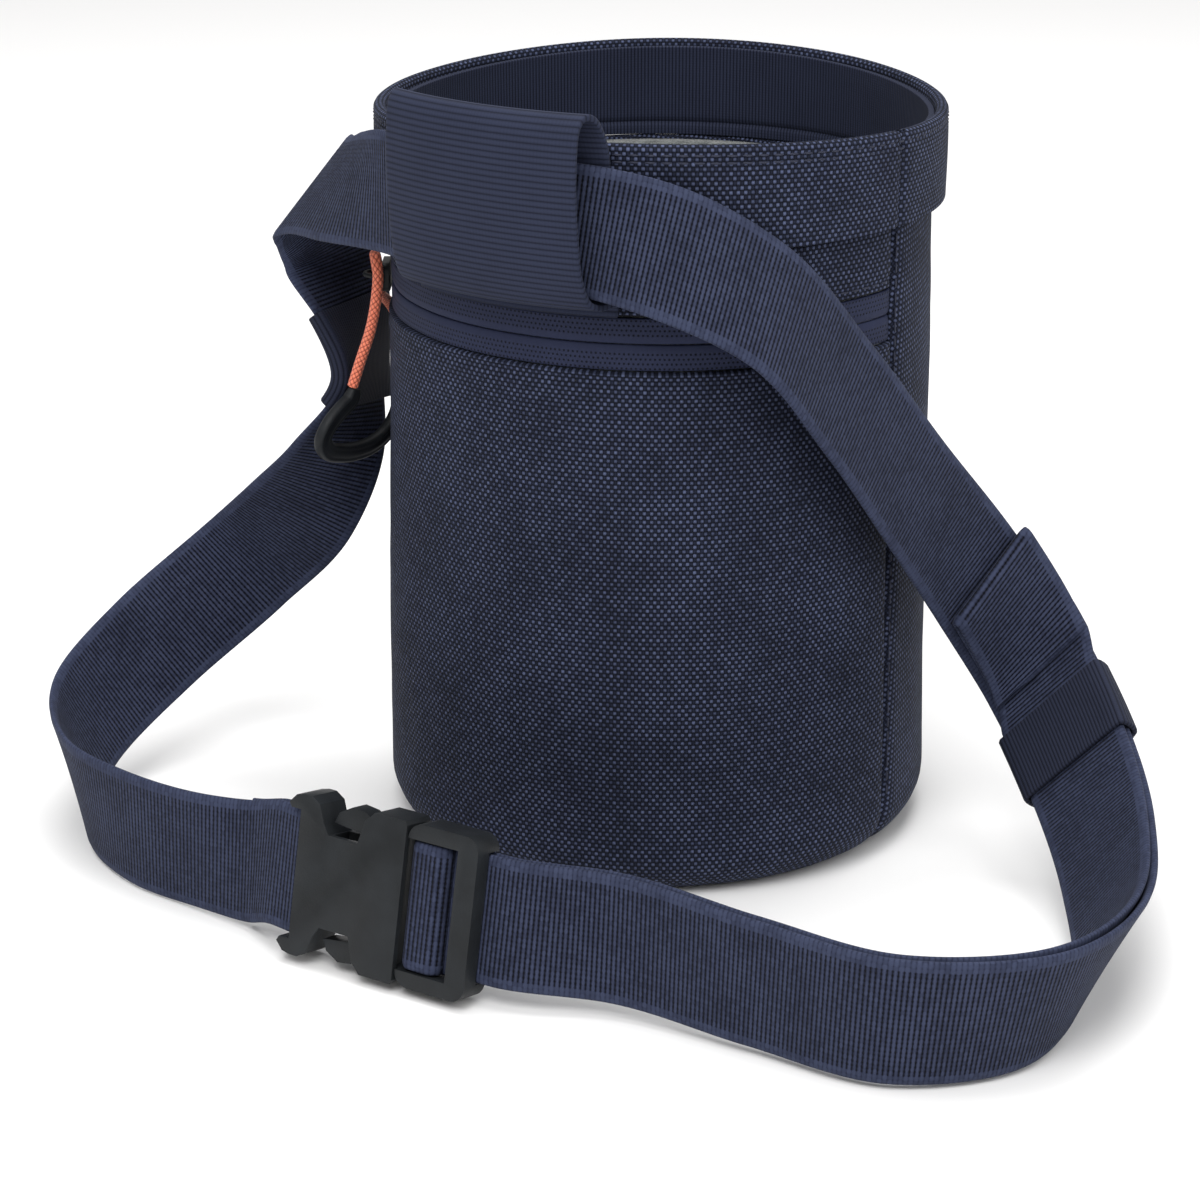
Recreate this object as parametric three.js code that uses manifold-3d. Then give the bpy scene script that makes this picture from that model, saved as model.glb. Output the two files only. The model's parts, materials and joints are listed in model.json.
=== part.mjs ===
// A climbing chalk bag: a cloth drum with a zipped front pocket, a fleece lining and a webbing waist belt
// that passes through a wide loop on the bag's front and closes with a side-release buckle.
// Millimetres, +Z up. The origin is on the floor under the middle of the drum, and the front faces -Y.

import * as THREE from "three";
import { mergeVertices } from "three/addons/utils/BufferGeometryUtils.js";
import Module from "manifold-3d";

const wasm = await Module();
wasm.setup();

// Driving dimensions of the drum
const bagHeight = 154; // floor to the mean height of the mouth's edge
const bagRadiusLow = 57.5; // outside of the drum near its foot
const bagRadiusHigh = 55.6; // outside of the drum under its mouth band
const clothWall = 1.8; // coarse outer cloth with its backing
const footRound = 10; // rounded lower edge of the drum
const baseThickness = 1.6;
const seamGap = 0.3; // clearance between pieces that are sewn or seated together

// Mouth of the bag
const bandHeight = 19.5;
const bandRadius = 58.3; // outside of the folded hem band
const bandThickness = 2.6;
const collarThickness = 1.2;
const collarHeight = 16;
const collarSetBack = 1.6; // the collar's edge lies this far under the band's edge
const mouthWave = 1.2; // how far the mouth's edge rises and falls
const mouthWaveAngle = 25;
const fleeceThickness = 3;
const fleeceSetBack = 20.5; // mean distance from the mouth's edge down to the fleece

// Zipped pocket on the front half
const seamAngle = 90; // side seams, measured from the bag's front
const zipHeight = 116; // the closed line between the two zip tapes
const zipTapeWidth = 5.2;
const zipTapeThickness = 1.1;
const zipSetBack = 0.5; // the tape lies this far inside the cloth's face
const zipEndAngle = 89.6;
const loopFoot = zipHeight + zipTapeWidth + 0.4; // height of the loop's sewn lower end
const sliderAngle = -56;
const sliderLength = 8.5;
const sliderWidth = 6;
const sliderThickness = 1.6;
const lugRadius = 2.3;
const lugWire = 0.5;

// Belt webbing and what carries it
const webbingWidth = 25;
const webbingThickness = 1.4;
const layerGap = 0.4; // between two layers of webbing that lie on each other
const beltReach = 150; // greatest distance of the belt from the drum's axis
const carryHeight = 140; // belt's middle where the loop holds it
const carryGap = 3; // from the mouth band's face to the belt's middle surface
const floorGap = 0.4;
const loopWidth = 45.5;
const loopMiddle = 2.2; // from the bag's front line to the loop's middle
const loopHug = 0.68; // how far its left edge stands off the belt's layers, as a share of its right edge
const loopSeat = 1.15; // stand of its sewn end on the mouth band
const loopWebbing = 1.3;
const loopBulge = 8.8; // how far the loop stands out in front of the drum
const loopCrown = 161.4; // height of the loop's fold
const sewnLap = 5;

// Elastic keepers round the belt
const keeperWall = 1;
const keeperSlack = 0.55;
const leftKeeperLength = 22;
const rightKeeperLength = 17.5;

// Buckle, in its own frame: x along the belt, z across it, front at -y
const buckleLength = 44;
const buckleWidth = 32;
const buckleThickness = 8;
const buckleCentre = new THREE.Vector3(7.7, -103.6, 17);
const buckleTurn = 2.4;
const buckleLean = 12;
const bucklePlay = 0.3; // clearance between the halves, and between plastic and webbing
const mouthPlace = 0.63; // where the female half ends, as a share of the length
const earLength = 8.6;
const waistHalf = 9.2;
const sewnBarRadius = 1.5;
const ladderBarPlace = 0.741; // middle of the bar that the webbing turns round, as a share of the length
const ladderBarWidth = 5.6;
const ladderBarThickness = 2.2;
const outerBarWidth = 4.5;

// Zip pull: an open finger bow that hangs by a cord at each end. Heights are counted from the zip.
const cordDiameter = 2.3;
const bowWidth = 32.2;
const bowHeight = 20.8;
const bowBar = 4.2;
const bowThickness = 2.8;
const bowCentre = [-55, -30.7, -32.6];
const bowTurn = 4; // degrees off the plane across the bag
const bowTilt = 15; // degrees, its ends leaning to the bag
const pullCordRoute = [
  [-48.5, -32.7, 0.6],
  [-48.6, -32.8, 2.2],
  [-47.4, -34.7, 4.6],
  [-45.3, -36.8, 4.2],
  [-44.5, -37.4, 1.0],
  [-45.5, -37.2, -5.0],
  [-47.7, -36.5, -11.4],
  [-50.4, -36.5, -18.0],
  [-52.4, -36.9, -23.8],
];
const returnCordRoute = [
  [-48.5, -32.7, -0.2],
  [-49.1, -31.7, -3.0],
  [-51.0, -28.4, -5.8],
  [-53.0, -23.7, -8.5],
  [-54.6, -19.3, -12.5],
  [-55.4, -16.9, -18.0],
  [-55.6, -16.5, -24.0],
  [-55.6, -16.8, -30.0],
];

// Where the belt runs, row by row from the drum to the buckle. Around is the angle from the bag's front,
// out is the share of the way from the drum to the belt's reach, and rise the share of the way from lying
// on the floor to the carrying height. Turn and tip give the webbing's upper edge: its heading away from
// the outward direction, and its elevation.
const rightRun = [
  { around: 12, out: 0.008, rise: 1, turn: 90, tip: 88 },
  { around: 21, out: 0.009, rise: 0.995, turn: 105, tip: 82 },
  { around: 35, out: 0.034, rise: 0.97, turn: 143, tip: 68 },
  { around: 51, out: 0.056, rise: 0.895, turn: 137, tip: 52 },
  { around: 69, out: 0.03, rise: 0.72, turn: 114, tip: 45 },
  { around: 86, out: 0.042, rise: 0.54, turn: 89, tip: 43 },
  { around: 101, out: 0.105, rise: 0.37, turn: 57, tip: 43 },
  { around: 106, out: 0.23, rise: 0.215, turn: 24, tip: 44 },
  { around: 96, out: 0.4, rise: 0.115, turn: 17, tip: 45 },
  { around: 84, out: 0.615, rise: 0.04, turn: 18, tip: 51 },
  { around: 73, out: 0.83, rise: 0.004, turn: 22, tip: 62 },
  { around: 61.5, out: 0.965, rise: 0.002, turn: 27, tip: 77 },
  { around: 51.5, out: 0.91, rise: 0.006, turn: 50, tip: 86 },
  { around: 42, out: 0.69, rise: 0.01, turn: 120, tip: 87 },
  { around: 30, out: 0.52, rise: 0.022, turn: 165, tip: 83 },
];

// The left side's folded stretch. Its rows run across the webbing at a slant, from its upper edge to its
// lower edge, so that it turns over a soft fold and heads down to the floor. Around and out are those of
// rightRun, and lift is the height over the carrying height as a share of the webbing's width.
const foldRun = [
  { topAround: -13, topOut: 0.008, topLift: 0.5, lowAround: -13, lowOut: 0.008, lowLift: -0.5 },
  { topAround: -26.5, topOut: 0.009, topLift: 0.49, lowAround: -27, lowOut: 0.012, lowLift: -0.49 },
  { topAround: -36, topOut: 0.012, topLift: 0.4, lowAround: -45, lowOut: 0.085, lowLift: -0.57 },
  { topAround: -44, topOut: 0.016, topLift: 0.3, lowAround: -61.1, lowOut: 0.208, lowLift: -0.71 },
  { topAround: -46, topOut: 0.016, topLift: 0.29, lowAround: -62.7, lowOut: 0.229, lowLift: -0.76 },
  { topAround: -48.6, topOut: 0.012, topLift: 0.24, lowAround: -63.8, lowOut: 0.226, lowLift: -0.83 },
  { topAround: -64.2, topOut: 0.02, topLift: -0.35, lowAround: -62.8, lowOut: 0.207, lowLift: -0.96 },
];

// The left side from the fold through its keeper and round to the buckle, in the columns of rightRun.
// Here turn and tip give the edge that ends up on top at the buckle.
const leftRun = [
  { around: -69, out: 0.112, rise: 0.799, turn: 63, tip: -7 },
  { around: -69.1, out: 0.065, rise: 0.713, turn: 78, tip: 0 },
  { around: -68.2, out: 0.044, rise: 0.622, turn: 87, tip: 6 },
  { around: -66.6, out: 0.099, rise: 0.481, turn: 53, tip: 17 },
  { around: -68, out: 0.203, rise: 0.365, turn: 22, tip: 31 },
  { around: -71.3, out: 0.39, rise: 0.234, turn: 0, tip: 43 },
  { around: -63.4, out: 0.57, rise: 0.123, turn: 5, tip: 52 },
  { around: -53.4, out: 0.702, rise: 0.041, turn: 15, tip: 62 },
  { around: -40.8, out: 0.718, rise: 0.004, turn: 26, tip: 79 },
  { around: -30.8, out: 0.65, rise: 0.001, turn: 60, tip: 88 },
  { around: -21.2, out: 0.556, rise: 0.003, turn: 145, tip: 88 },
  { around: -15, out: 0.508, rise: 0.01, turn: -149, tip: 81 },
];
const leftKeeperPlace = 0.335; // middle of the keeper, as a share of the left run's length
const rightKeeperPlace = 0.475; // middle of the keeper, as a share of the right run's length
const tailEndPlace = 0.372; // end of the adjusting tail, as a share of the right run's length
const hemLength = webbingWidth;
const tailSlip = 0.14; // how far the tail's hem has slipped past the belt's edge, as a share of half its width
const sewnFlapLength = webbingWidth / 2;

// The wide loop's profile from its end on the mouth band, over its fold and down to its sewn foot. Stand
// is the share of the loop's bulge out from the band, and rise the share of the way from foot to fold.
const loopProfile = [
  { stand: 0.11, rise: 0.52 },
  { stand: 0.11, rise: 0.66 },
  { stand: 0.13, rise: 0.79 },
  { stand: 0.3, rise: 0.91 },
  { stand: 0.56, rise: 0.985 },
  { stand: 0.84, rise: 1 },
  { stand: 1.04, rise: 0.95 },
  { stand: 1.14, rise: 0.83 },
  { stand: 1.16, rise: 0.62 },
  { stand: 1.08, rise: 0.42 },
  { stand: 0.95, rise: 0.24 },
  { stand: 0.7, rise: 0.115 },
  { stand: 0.35, rise: 0.075 },
];

// Colours and finishes
const navyCloth = new THREE.MeshStandardMaterial({ color: 0x252a3e, roughness: 0.9, metalness: 0 });
const navyTape = new THREE.MeshStandardMaterial({ color: 0x2a3046, roughness: 0.85, metalness: 0 });
const navyWebbing = new THREE.MeshStandardMaterial({ color: 0x282d44, roughness: 0.8, metalness: 0 });
const greyFleece = new THREE.MeshStandardMaterial({ color: 0x5f6469, roughness: 1, metalness: 0 });
const slatePlastic = new THREE.MeshStandardMaterial({ color: 0x3a4042, roughness: 0.5, metalness: 0 });
const orangeCord = new THREE.MeshStandardMaterial({ color: 0xeb785a, roughness: 0.7, metalness: 0 });

const group = new THREE.Group();
const radians = THREE.MathUtils.degToRad;
const { lerp, clamp } = THREE.MathUtils;

function addPiece(name, geometry, material, parent = group) {
  const mesh = new THREE.Mesh(geometry, material);
  mesh.name = name;
  parent.add(mesh);
}

// A point at an angle from the bag's front, a distance from the drum's axis and a height
function polar(around, radius, height) {
  const angle = radians(around);
  return new THREE.Vector3(radius * Math.sin(angle), -radius * Math.cos(angle), height);
}

function evenSteps(first, last, steps) {
  return Array.from({ length: steps + 1 }, (_, k) => lerp(first, last, k / steps));
}

// Height of the mouth's edge above the floor, which rises and falls twice round the drum
function mouthHeight(around) {
  return bagHeight + mouthWave * Math.cos(2 * radians(around - mouthWaveAngle));
}

// Outside radius of the drum's cloth at a height above its rounded foot
function clothRadius(height) {
  const share = (height - footRound) / (bagHeight - bandHeight - footRound);
  return lerp(bagRadiusLow, bagRadiusHigh, clamp(share, 0, 1));
}

function signedVolume(points, triangles) {
  let volume = 0;
  for (let i = 0; i < triangles.length; i += 3) {
    const [a, b, c] = [points[triangles[i]], points[triangles[i + 1]], points[triangles[i + 2]]];
    volume += a.dot(new THREE.Vector3().crossVectors(b, c)) / 6;
  }
  return volume;
}

// A closed body from points and triangles, with its faces turned outward
function closedBody(points, triangles) {
  if (signedVolume(points, triangles) < 0) {
    for (let i = 0; i < triangles.length; i += 3) {
      [triangles[i], triangles[i + 1]] = [triangles[i + 1], triangles[i]];
    }
  }
  const geometry = new THREE.BufferGeometry().setFromPoints(points);
  geometry.setIndex(triangles);
  geometry.computeVertexNormals();
  return geometry;
}

function addQuad(triangles, a, b, c, d) {
  triangles.push(a, b, c, a, c, d);
}

// The unit normal of a grid of points at one place, from its neighbours
function gridNormal(grid, i, j, ring) {
  const last = grid.length - 1;
  const before = grid[ring ? (i + last) % (last + 1) : Math.max(i - 1, 0)][j];
  const after = grid[ring ? (i + 1) % (last + 1) : Math.min(i + 1, last)][j];
  const low = grid[i][Math.max(j - 1, 0)];
  const high = grid[i][Math.min(j + 1, grid[i].length - 1)];
  const along = new THREE.Vector3().subVectors(after, before);
  const across = new THREE.Vector3().subVectors(high, low);
  return along.cross(across).normalize();
}

// A sheet of cloth or webbing: a grid of points on its middle surface, given a thickness. With ring set,
// its last row joins its first.
function sheet(grid, thickness, ring = false) {
  const columns = grid[0].length;
  const points = [];
  for (const side of [1, -1]) {
    grid.forEach((row, i) =>
      row.forEach((point, j) => {
        const normal = gridNormal(grid, i, j, ring);
        points.push(point.clone().addScaledVector(normal, (side * thickness) / 2));
      }),
    );
  }
  const count = grid.length * columns;
  const at = (i, j, back) => (i % grid.length) * columns + j + (back ? count : 0);
  const triangles = [];
  const spans = ring ? grid.length : grid.length - 1;
  const edge = columns - 1;
  for (let i = 0; i < spans; i++) {
    for (let j = 0; j < edge; j++) {
      addQuad(triangles, at(i, j), at(i + 1, j), at(i + 1, j + 1), at(i, j + 1));
      addQuad(triangles, at(i, j, true), at(i, j + 1, true), at(i + 1, j + 1, true), at(i + 1, j, true));
    }
    addQuad(triangles, at(i, 0), at(i, 0, true), at(i + 1, 0, true), at(i + 1, 0));
    addQuad(triangles, at(i, edge), at(i + 1, edge), at(i + 1, edge, true), at(i, edge, true));
  }
  if (!ring) {
    const end = grid.length - 1;
    for (let j = 0; j < edge; j++) {
      addQuad(triangles, at(0, j), at(0, j + 1), at(0, j + 1, true), at(0, j, true));
      addQuad(triangles, at(end, j), at(end, j, true), at(end, j + 1, true), at(end, j + 1));
    }
  }
  return closedBody(points, triangles);
}

// A wall that follows the drum between two angles, or all round it. The profile gives, for an angle, its
// rows as pairs of radius and height on the wall's middle surface.
function drumWall(fromAngle, toAngle, steps, thickness, profile) {
  const ring = toAngle - fromAngle === 360;
  const angles = evenSteps(fromAngle, toAngle, steps);
  if (ring) angles.pop();
  const grid = angles.map((around) => profile(around).map(([radius, height]) => polar(around, radius, height)));
  return sheet(grid, thickness, ring);
}

// A panel's middle surface: its rounded foot, then its wall up to a height
const footMiddle = footRound - clothWall / 2;
const footStart = 78; // the rounded foot begins this far under the horizontal
function panelProfile(top) {
  const foot = evenSteps(footStart, 0, 4).map((angle) => [
    bagRadiusLow - footRound + footMiddle * Math.cos(radians(angle)),
    footRound - footMiddle * Math.sin(radians(angle)),
  ]);
  const wall = evenSteps(footRound, top, 3).slice(1);
  return [...foot, ...wall.map((height) => [clothRadius(height) - clothWall / 2, height])];
}

// Panels of the drum
const bodyTop = bagHeight - bandHeight - seamGap;
const seamHalf = THREE.MathUtils.radToDeg(seamGap / 2 / bagRadiusHigh);
const zipLow = zipHeight - zipTapeWidth - seamGap;
const zipHigh = zipHeight + zipTapeWidth + seamGap;
const frontFrom = -seamAngle + seamHalf;
const frontTo = seamAngle - seamHalf;
const panelSteps = 28;
addPiece("pocket_panel", drumWall(frontFrom, frontTo, panelSteps, clothWall, () => panelProfile(zipLow)), navyCloth);
addPiece(
  "back_panel",
  drumWall(seamAngle + seamHalf, 360 - seamAngle - seamHalf, panelSteps, clothWall, () => panelProfile(bodyTop)),
  navyCloth,
);
const upperRows = [zipHigh, bodyTop].map((height) => [clothRadius(height) - clothWall / 2, height]);
addPiece("upper_panel", drumWall(frontFrom, frontTo, panelSteps, clothWall, () => upperRows), navyCloth);

// A solid of revolution about the drum's axis, from pairs of radius and height
function turned(profile, segments) {
  const points = profile.map(([radius, height]) => new THREE.Vector2(radius, height));
  return new THREE.LatheGeometry(points, segments).rotateX(Math.PI / 2);
}

// Round base inside the panels' rounded foot
const baseRadius =
  bagRadiusLow - footRound + (footRound - clothWall) * Math.cos(radians(footStart)) - seamGap;
addPiece(
  "base_panel",
  turned([[0, 0], [baseRadius, 0], [baseRadius, baseThickness], [0, baseThickness]], 48),
  navyCloth,
);

// Folded hem band round the mouth, and the ribbed collar inside it
const mouthSteps = 56;
const bandMiddle = bandRadius - bandThickness / 2;
const bandLow = bagHeight - bandHeight;
addPiece(
  "rim_band",
  drumWall(0, 360, mouthSteps, bandThickness, (around) => [
    [bandMiddle, bandLow],
    [bandMiddle, mouthHeight(around)],
  ]),
  navyCloth,
);
const collarMiddle = bandRadius - bandThickness - seamGap - collarThickness / 2;
addPiece(
  "collar",
  drumWall(0, 360, mouthSteps, collarThickness, (around) => [
    [collarMiddle, bagHeight - collarSetBack - collarHeight],
    [collarMiddle, mouthHeight(around) - collarSetBack],
  ]),
  navyTape,
);

// Fleece lining: a cup against the inside of the drum
const fleeceTop = bagHeight - fleeceSetBack;
const fleeceFoot = baseThickness + seamGap;
const fleeceFootRadius = bagRadiusLow - footRound;
const fleeceOuter = (height) => clothRadius(height) - clothWall - seamGap;
const fleeceFootHeight = footRound + seamGap;
addPiece(
  "fleece_lining",
  turned(
    [
      [0, fleeceFoot],
      [fleeceFootRadius, fleeceFoot],
      [fleeceOuter(fleeceFootHeight), fleeceFootHeight],
      [fleeceOuter(fleeceTop), fleeceTop],
      [fleeceOuter(fleeceTop) - fleeceThickness, fleeceTop],
      [fleeceOuter(fleeceFootHeight) - fleeceThickness, fleeceFootHeight],
      [fleeceFootRadius - fleeceThickness, fleeceFoot + fleeceThickness],
      [0, fleeceFoot + fleeceThickness],
    ],
    48,
  ),
  greyFleece,
);

// Zip: two tapes that meet on a closed line, and the slider at the left end
const tapeFace = clothRadius(zipHeight) - zipSetBack;
function zipTape(low, high) {
  const middle = tapeFace - zipTapeThickness / 2;
  return drumWall(-zipEndAngle, zipEndAngle, panelSteps, zipTapeThickness, () => [
    [middle, low],
    [middle, high],
  ]);
}
addPiece("zip_tape_lower", zipTape(zipHeight - zipTapeWidth, zipHeight - seamGap / 2), navyTape);
addPiece("zip_tape_upper", zipTape(zipHeight + seamGap / 2, zipHeight + zipTapeWidth), navyTape);

function roundedRectangle(width, height, corner) {
  const [x, y] = [width / 2, height / 2];
  const shape = new THREE.Shape();
  shape.moveTo(-x + corner, -y);
  shape.lineTo(x - corner, -y);
  shape.absarc(x - corner, -y + corner, corner, -Math.PI / 2, 0);
  shape.lineTo(x, y - corner);
  shape.absarc(x - corner, y - corner, corner, 0, Math.PI / 2);
  shape.lineTo(-x + corner, y);
  shape.absarc(-x + corner, y - corner, corner, Math.PI / 2, Math.PI);
  shape.lineTo(-x, -y + corner);
  shape.absarc(-x + corner, -y + corner, corner, Math.PI, Math.PI * 1.5);
  return shape;
}

// An outline drawn in x and z, given a thickness from one y to another
function plate(shape, front, back, curveSegments = 4) {
  const geometry = new THREE.ExtrudeGeometry(shape, { depth: back - front, bevelEnabled: false, curveSegments });
  return geometry.rotateX(Math.PI / 2).translate(0, back, 0);
}

function box(fromX, toX, fromY, toY, fromZ, toZ) {
  const geometry = new THREE.BoxGeometry(toX - fromX, toY - fromY, toZ - fromZ);
  return geometry.translate((fromX + toX) / 2, (fromY + toY) / 2, (fromZ + toZ) / 2);
}

function toManifold(geometry) {
  const bare = geometry.clone();
  for (const name of Object.keys(bare.attributes)) {
    if (name !== "position") bare.deleteAttribute(name);
  }
  const merged = mergeVertices(bare, 1e-4);
  return new wasm.Manifold(
    new wasm.Mesh({
      numProp: 3,
      vertProperties: new Float32Array(merged.attributes.position.array),
      triVerts: new Uint32Array(merged.index.array),
    }),
  );
}

function fromManifold(solid) {
  const mesh = solid.getMesh();
  const geometry = new THREE.BufferGeometry();
  geometry.setAttribute("position", new THREE.BufferAttribute(mesh.vertProperties, 3));
  geometry.setIndex(new THREE.BufferAttribute(mesh.triVerts, 1));
  geometry.computeVertexNormals();
  return geometry;
}

const joined = (...geometries) => geometries.map(toManifold).reduce((whole, next) => whole.add(next));
const cut = (whole, ...tools) => tools.map(toManifold).reduce((rest, tool) => rest.subtract(tool), whole);

// Slider: a flat body on the tapes, with a lug that the cord passes through
const sliderMiddle = tapeFace + seamGap + sliderThickness / 2;
const sliderBody = plate(
  roundedRectangle(sliderLength, sliderWidth, 1.5),
  -sliderThickness / 2,
  sliderThickness / 2,
);
const lug = new THREE.TorusGeometry(lugRadius, lugWire, 6, 16).translate(0, -lugRadius, 0);
const slider = fromManifold(joined(sliderBody, lug));
slider.rotateZ(radians(sliderAngle));
const sliderPlace = polar(sliderAngle, sliderMiddle, zipHeight);
slider.translate(sliderPlace.x, sliderPlace.y, sliderPlace.z);
addPiece("zip_slider", slider, slatePlastic);

// The belt's middle surface as rows of a centre and half the width, from one edge to the other
const carryRadius = bandRadius + carryGap;
const restHeight = webbingWidth / 2 + floorGap;
const beltRadius = (out) => lerp(carryRadius, beltReach, out);

function runRow({ around, out, rise, turn, tip }, side) {
  const centre = polar(around, beltRadius(out), lerp(restHeight, carryHeight, rise));
  const level = polar(around + turn, Math.cos(radians(tip)), 0);
  const half = level.setZ(Math.sin(radians(tip))).multiplyScalar((side * webbingWidth) / 2);
  return { centre, half };
}

function foldRow(row) {
  const top = polar(row.topAround, beltRadius(row.topOut), carryHeight + row.topLift * webbingWidth);
  const low = polar(row.lowAround, beltRadius(row.lowOut), carryHeight + row.lowLift * webbingWidth);
  return edgeRow(top, low);
}

function edgeRow(top, low) {
  return {
    centre: top.clone().add(low).multiplyScalar(0.5),
    half: top.clone().sub(low).multiplyScalar(0.5),
  };
}

// Smooth rows through given ones, with their slopes weighed by the distances between the rows
function smoothRun(rows, longestStep) {
  const place = [0];
  rows.slice(1).forEach((row, i) => place.push(place[i] + row.centre.distanceTo(rows[i].centre)));
  const slope = (key, i) => {
    const [a, b] = [Math.max(i - 1, 0), Math.min(i + 1, rows.length - 1)];
    const back = a === i ? 1 : place[i] - place[a];
    const ahead = b === i ? 1 : place[b] - place[i];
    const behind = rows[i][key].clone().sub(rows[a][key]).multiplyScalar(1 / back);
    const before = rows[b][key].clone().sub(rows[i][key]).multiplyScalar(1 / ahead);
    if (a === i) return before;
    if (b === i) return behind;
    return behind.multiplyScalar(ahead / (back + ahead)).addScaledVector(before, back / (back + ahead));
  };
  const between = (key, i, t, span) => {
    const [t2, t3] = [t * t, t * t * t];
    return rows[i][key]
      .clone()
      .multiplyScalar(2 * t3 - 3 * t2 + 1)
      .addScaledVector(slope(key, i), (t3 - 2 * t2 + t) * span)
      .addScaledVector(rows[i + 1][key], 3 * t2 - 2 * t3)
      .addScaledVector(slope(key, i + 1), (t3 - t2) * span);
  };
  const smooth = [];
  for (let i = 0; i < rows.length - 1; i++) {
    const span = place[i + 1] - place[i];
    const steps = Math.max(1, Math.ceil(span / longestStep));
    for (let k = 0; k < steps; k++) {
      smooth.push({ centre: between("centre", i, k / steps, span), half: between("half", i, k / steps, span) });
    }
  }
  smooth.push(rows.at(-1));
  return smooth;
}

function runLengths(run) {
  const lengths = [0];
  run.slice(1).forEach((row, i) => lengths.push(lengths[i] + row.centre.distanceTo(run[i].centre)));
  return lengths;
}

// The stretch of a run between two distances along it
function runBetween(run, from, to) {
  const lengths = runLengths(run);
  const rowAt = (distance) => {
    const i = clamp(lengths.findIndex((length) => length > distance) - 1, 0, run.length - 2);
    const t = (distance - lengths[i]) / (lengths[i + 1] - lengths[i]);
    return {
      centre: run[i].centre.clone().lerp(run[i + 1].centre, t),
      half: run[i].half.clone().lerp(run[i + 1].half, t),
    };
  };
  const margin = 1;
  const kept = run.filter((row, i) => lengths[i] > from + margin && lengths[i] < to - margin);
  return [rowAt(from), ...kept, rowAt(to)];
}

// A run as a grid of points over its width, which may be stretched, and moved off it along its normals
const webbingCells = 4;
function runGrid(run, offset = 0, stretch = 1) {
  const shares = evenSteps(-stretch, stretch, webbingCells);
  const grid = run.map(({ centre, half }) => shares.map((share) => centre.clone().addScaledVector(half, share)));
  if (offset === 0) return grid;
  return grid.map((row, i) =>
    row.map((point, j) => point.clone().addScaledVector(gridNormal(grid, i, j, false), offset)),
  );
}

const besideRun = (run, from, to, offset) => runGrid(runBetween(run, from, to), offset);

// The buckle's frame, and rows of webbing that lie in it
const buckle = new THREE.Group();
buckle.position.copy(buckleCentre);
buckle.rotation.set(radians(-buckleLean), 0, radians(buckleTurn), "ZYX");
buckle.updateMatrixWorld();
group.add(buckle);
function buckleRow(x, y, side) {
  const centre = new THREE.Vector3(x, y, 0);
  const edge = new THREE.Vector3(x, y, (side * webbingWidth) / 2);
  centre.applyMatrix4(buckle.matrixWorld);
  edge.applyMatrix4(buckle.matrixWorld);
  return { centre, half: edge.sub(centre) };
}
const buckleGrid = (x, y, side) => runGrid([buckleRow(x, y, side)])[0];
const arcGrid = (x, y, radius, from, to, steps, side) =>
  evenSteps(from, to, steps).map((angle) =>
    buckleGrid(x + radius * Math.cos(radians(angle)), y + radius * Math.sin(radians(angle)), side),
  );

const leftEnd = -buckleLength / 2;
const rightEnd = buckleLength / 2;
const plateFace = -buckleThickness / 2;
const layer = webbingThickness + layerGap;
const beltStep = 6;

// Left half of the belt: from the loop's middle over the fold to the sewn bar, round it and back
const sewnBarX = leftEnd + 3.6;
const sewnBarY = 0.8;
const sewnTurn = sewnBarRadius + bucklePlay + webbingThickness / 2;
const splitHalf = THREE.MathUtils.radToDeg(seamGap / 2 / carryRadius);
const leftStart = edgeRow(
  polar(-splitHalf, beltRadius(foldRun[0].topOut), carryHeight + webbingWidth / 2),
  polar(-splitHalf, beltRadius(foldRun[0].lowOut), carryHeight - webbingWidth / 2),
);
const leftMain = smoothRun(
  [
    leftStart,
    ...foldRun.map(foldRow),
    ...leftRun.map((row) => runRow(row, -1)),
    buckleRow(leftEnd - 4.5, 0, -1),
    buckleRow(leftEnd, -0.9, -1),
    buckleRow(sewnBarX, sewnBarY - sewnTurn, -1),
  ],
  beltStep,
);
const leftLength = runLengths(leftMain).at(-1);
const flapStart = leftLength - webbingWidth / 4;
const leftFlap = besideRun(leftMain, flapStart - sewnFlapLength, flapStart, layer).reverse();
const leftBelt = [
  ...runGrid(leftMain),
  ...arcGrid(sewnBarX, sewnBarY, sewnTurn, -60, 90, 5, -1),
  ...leftFlap,
];
addPiece("belt_left", sheet(leftBelt, webbingThickness), navyWebbing);

// Right half of the belt: from the loop's middle, in behind the outer bar and round the ladder bar
const ladderX = leftEnd + ladderBarPlace * buckleLength;
const ladderY = -0.6;
const ladderTurn = ladderBarThickness / 2 + bucklePlay + webbingThickness / 2;
const ladderHalf = ladderBarWidth / 2 - ladderBarThickness / 2;
const tailY = 1.3;
const rightStart = edgeRow(
  polar(splitHalf, beltRadius(rightRun[0].out), carryHeight + webbingWidth / 2),
  polar(splitHalf, beltRadius(rightRun[0].out), carryHeight - webbingWidth / 2),
);
const rightMain = smoothRun(
  [
    rightStart,
    ...rightRun.map((row) => runRow(row, 1)),
    buckleRow(rightEnd + 3, tailY, 1),
    buckleRow(rightEnd - outerBarWidth + 1.5, tailY, 1),
  ],
  beltStep,
);
const rightBelt = [
  ...runGrid(rightMain),
  buckleGrid(rightEnd - outerBarWidth - 0.8, tailY - 0.1, 1),
  ...arcGrid(ladderX + ladderHalf, ladderY, ladderTurn, 15, -90, 3, 1),
  ...arcGrid(ladderX - ladderHalf, ladderY, ladderTurn, 270, 90, 6, 1),
  buckleGrid(ladderX + ladderHalf - 0.2, ladderY + ladderTurn, 1),
];
addPiece("belt_right", sheet(rightBelt, webbingThickness), navyWebbing);

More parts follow.
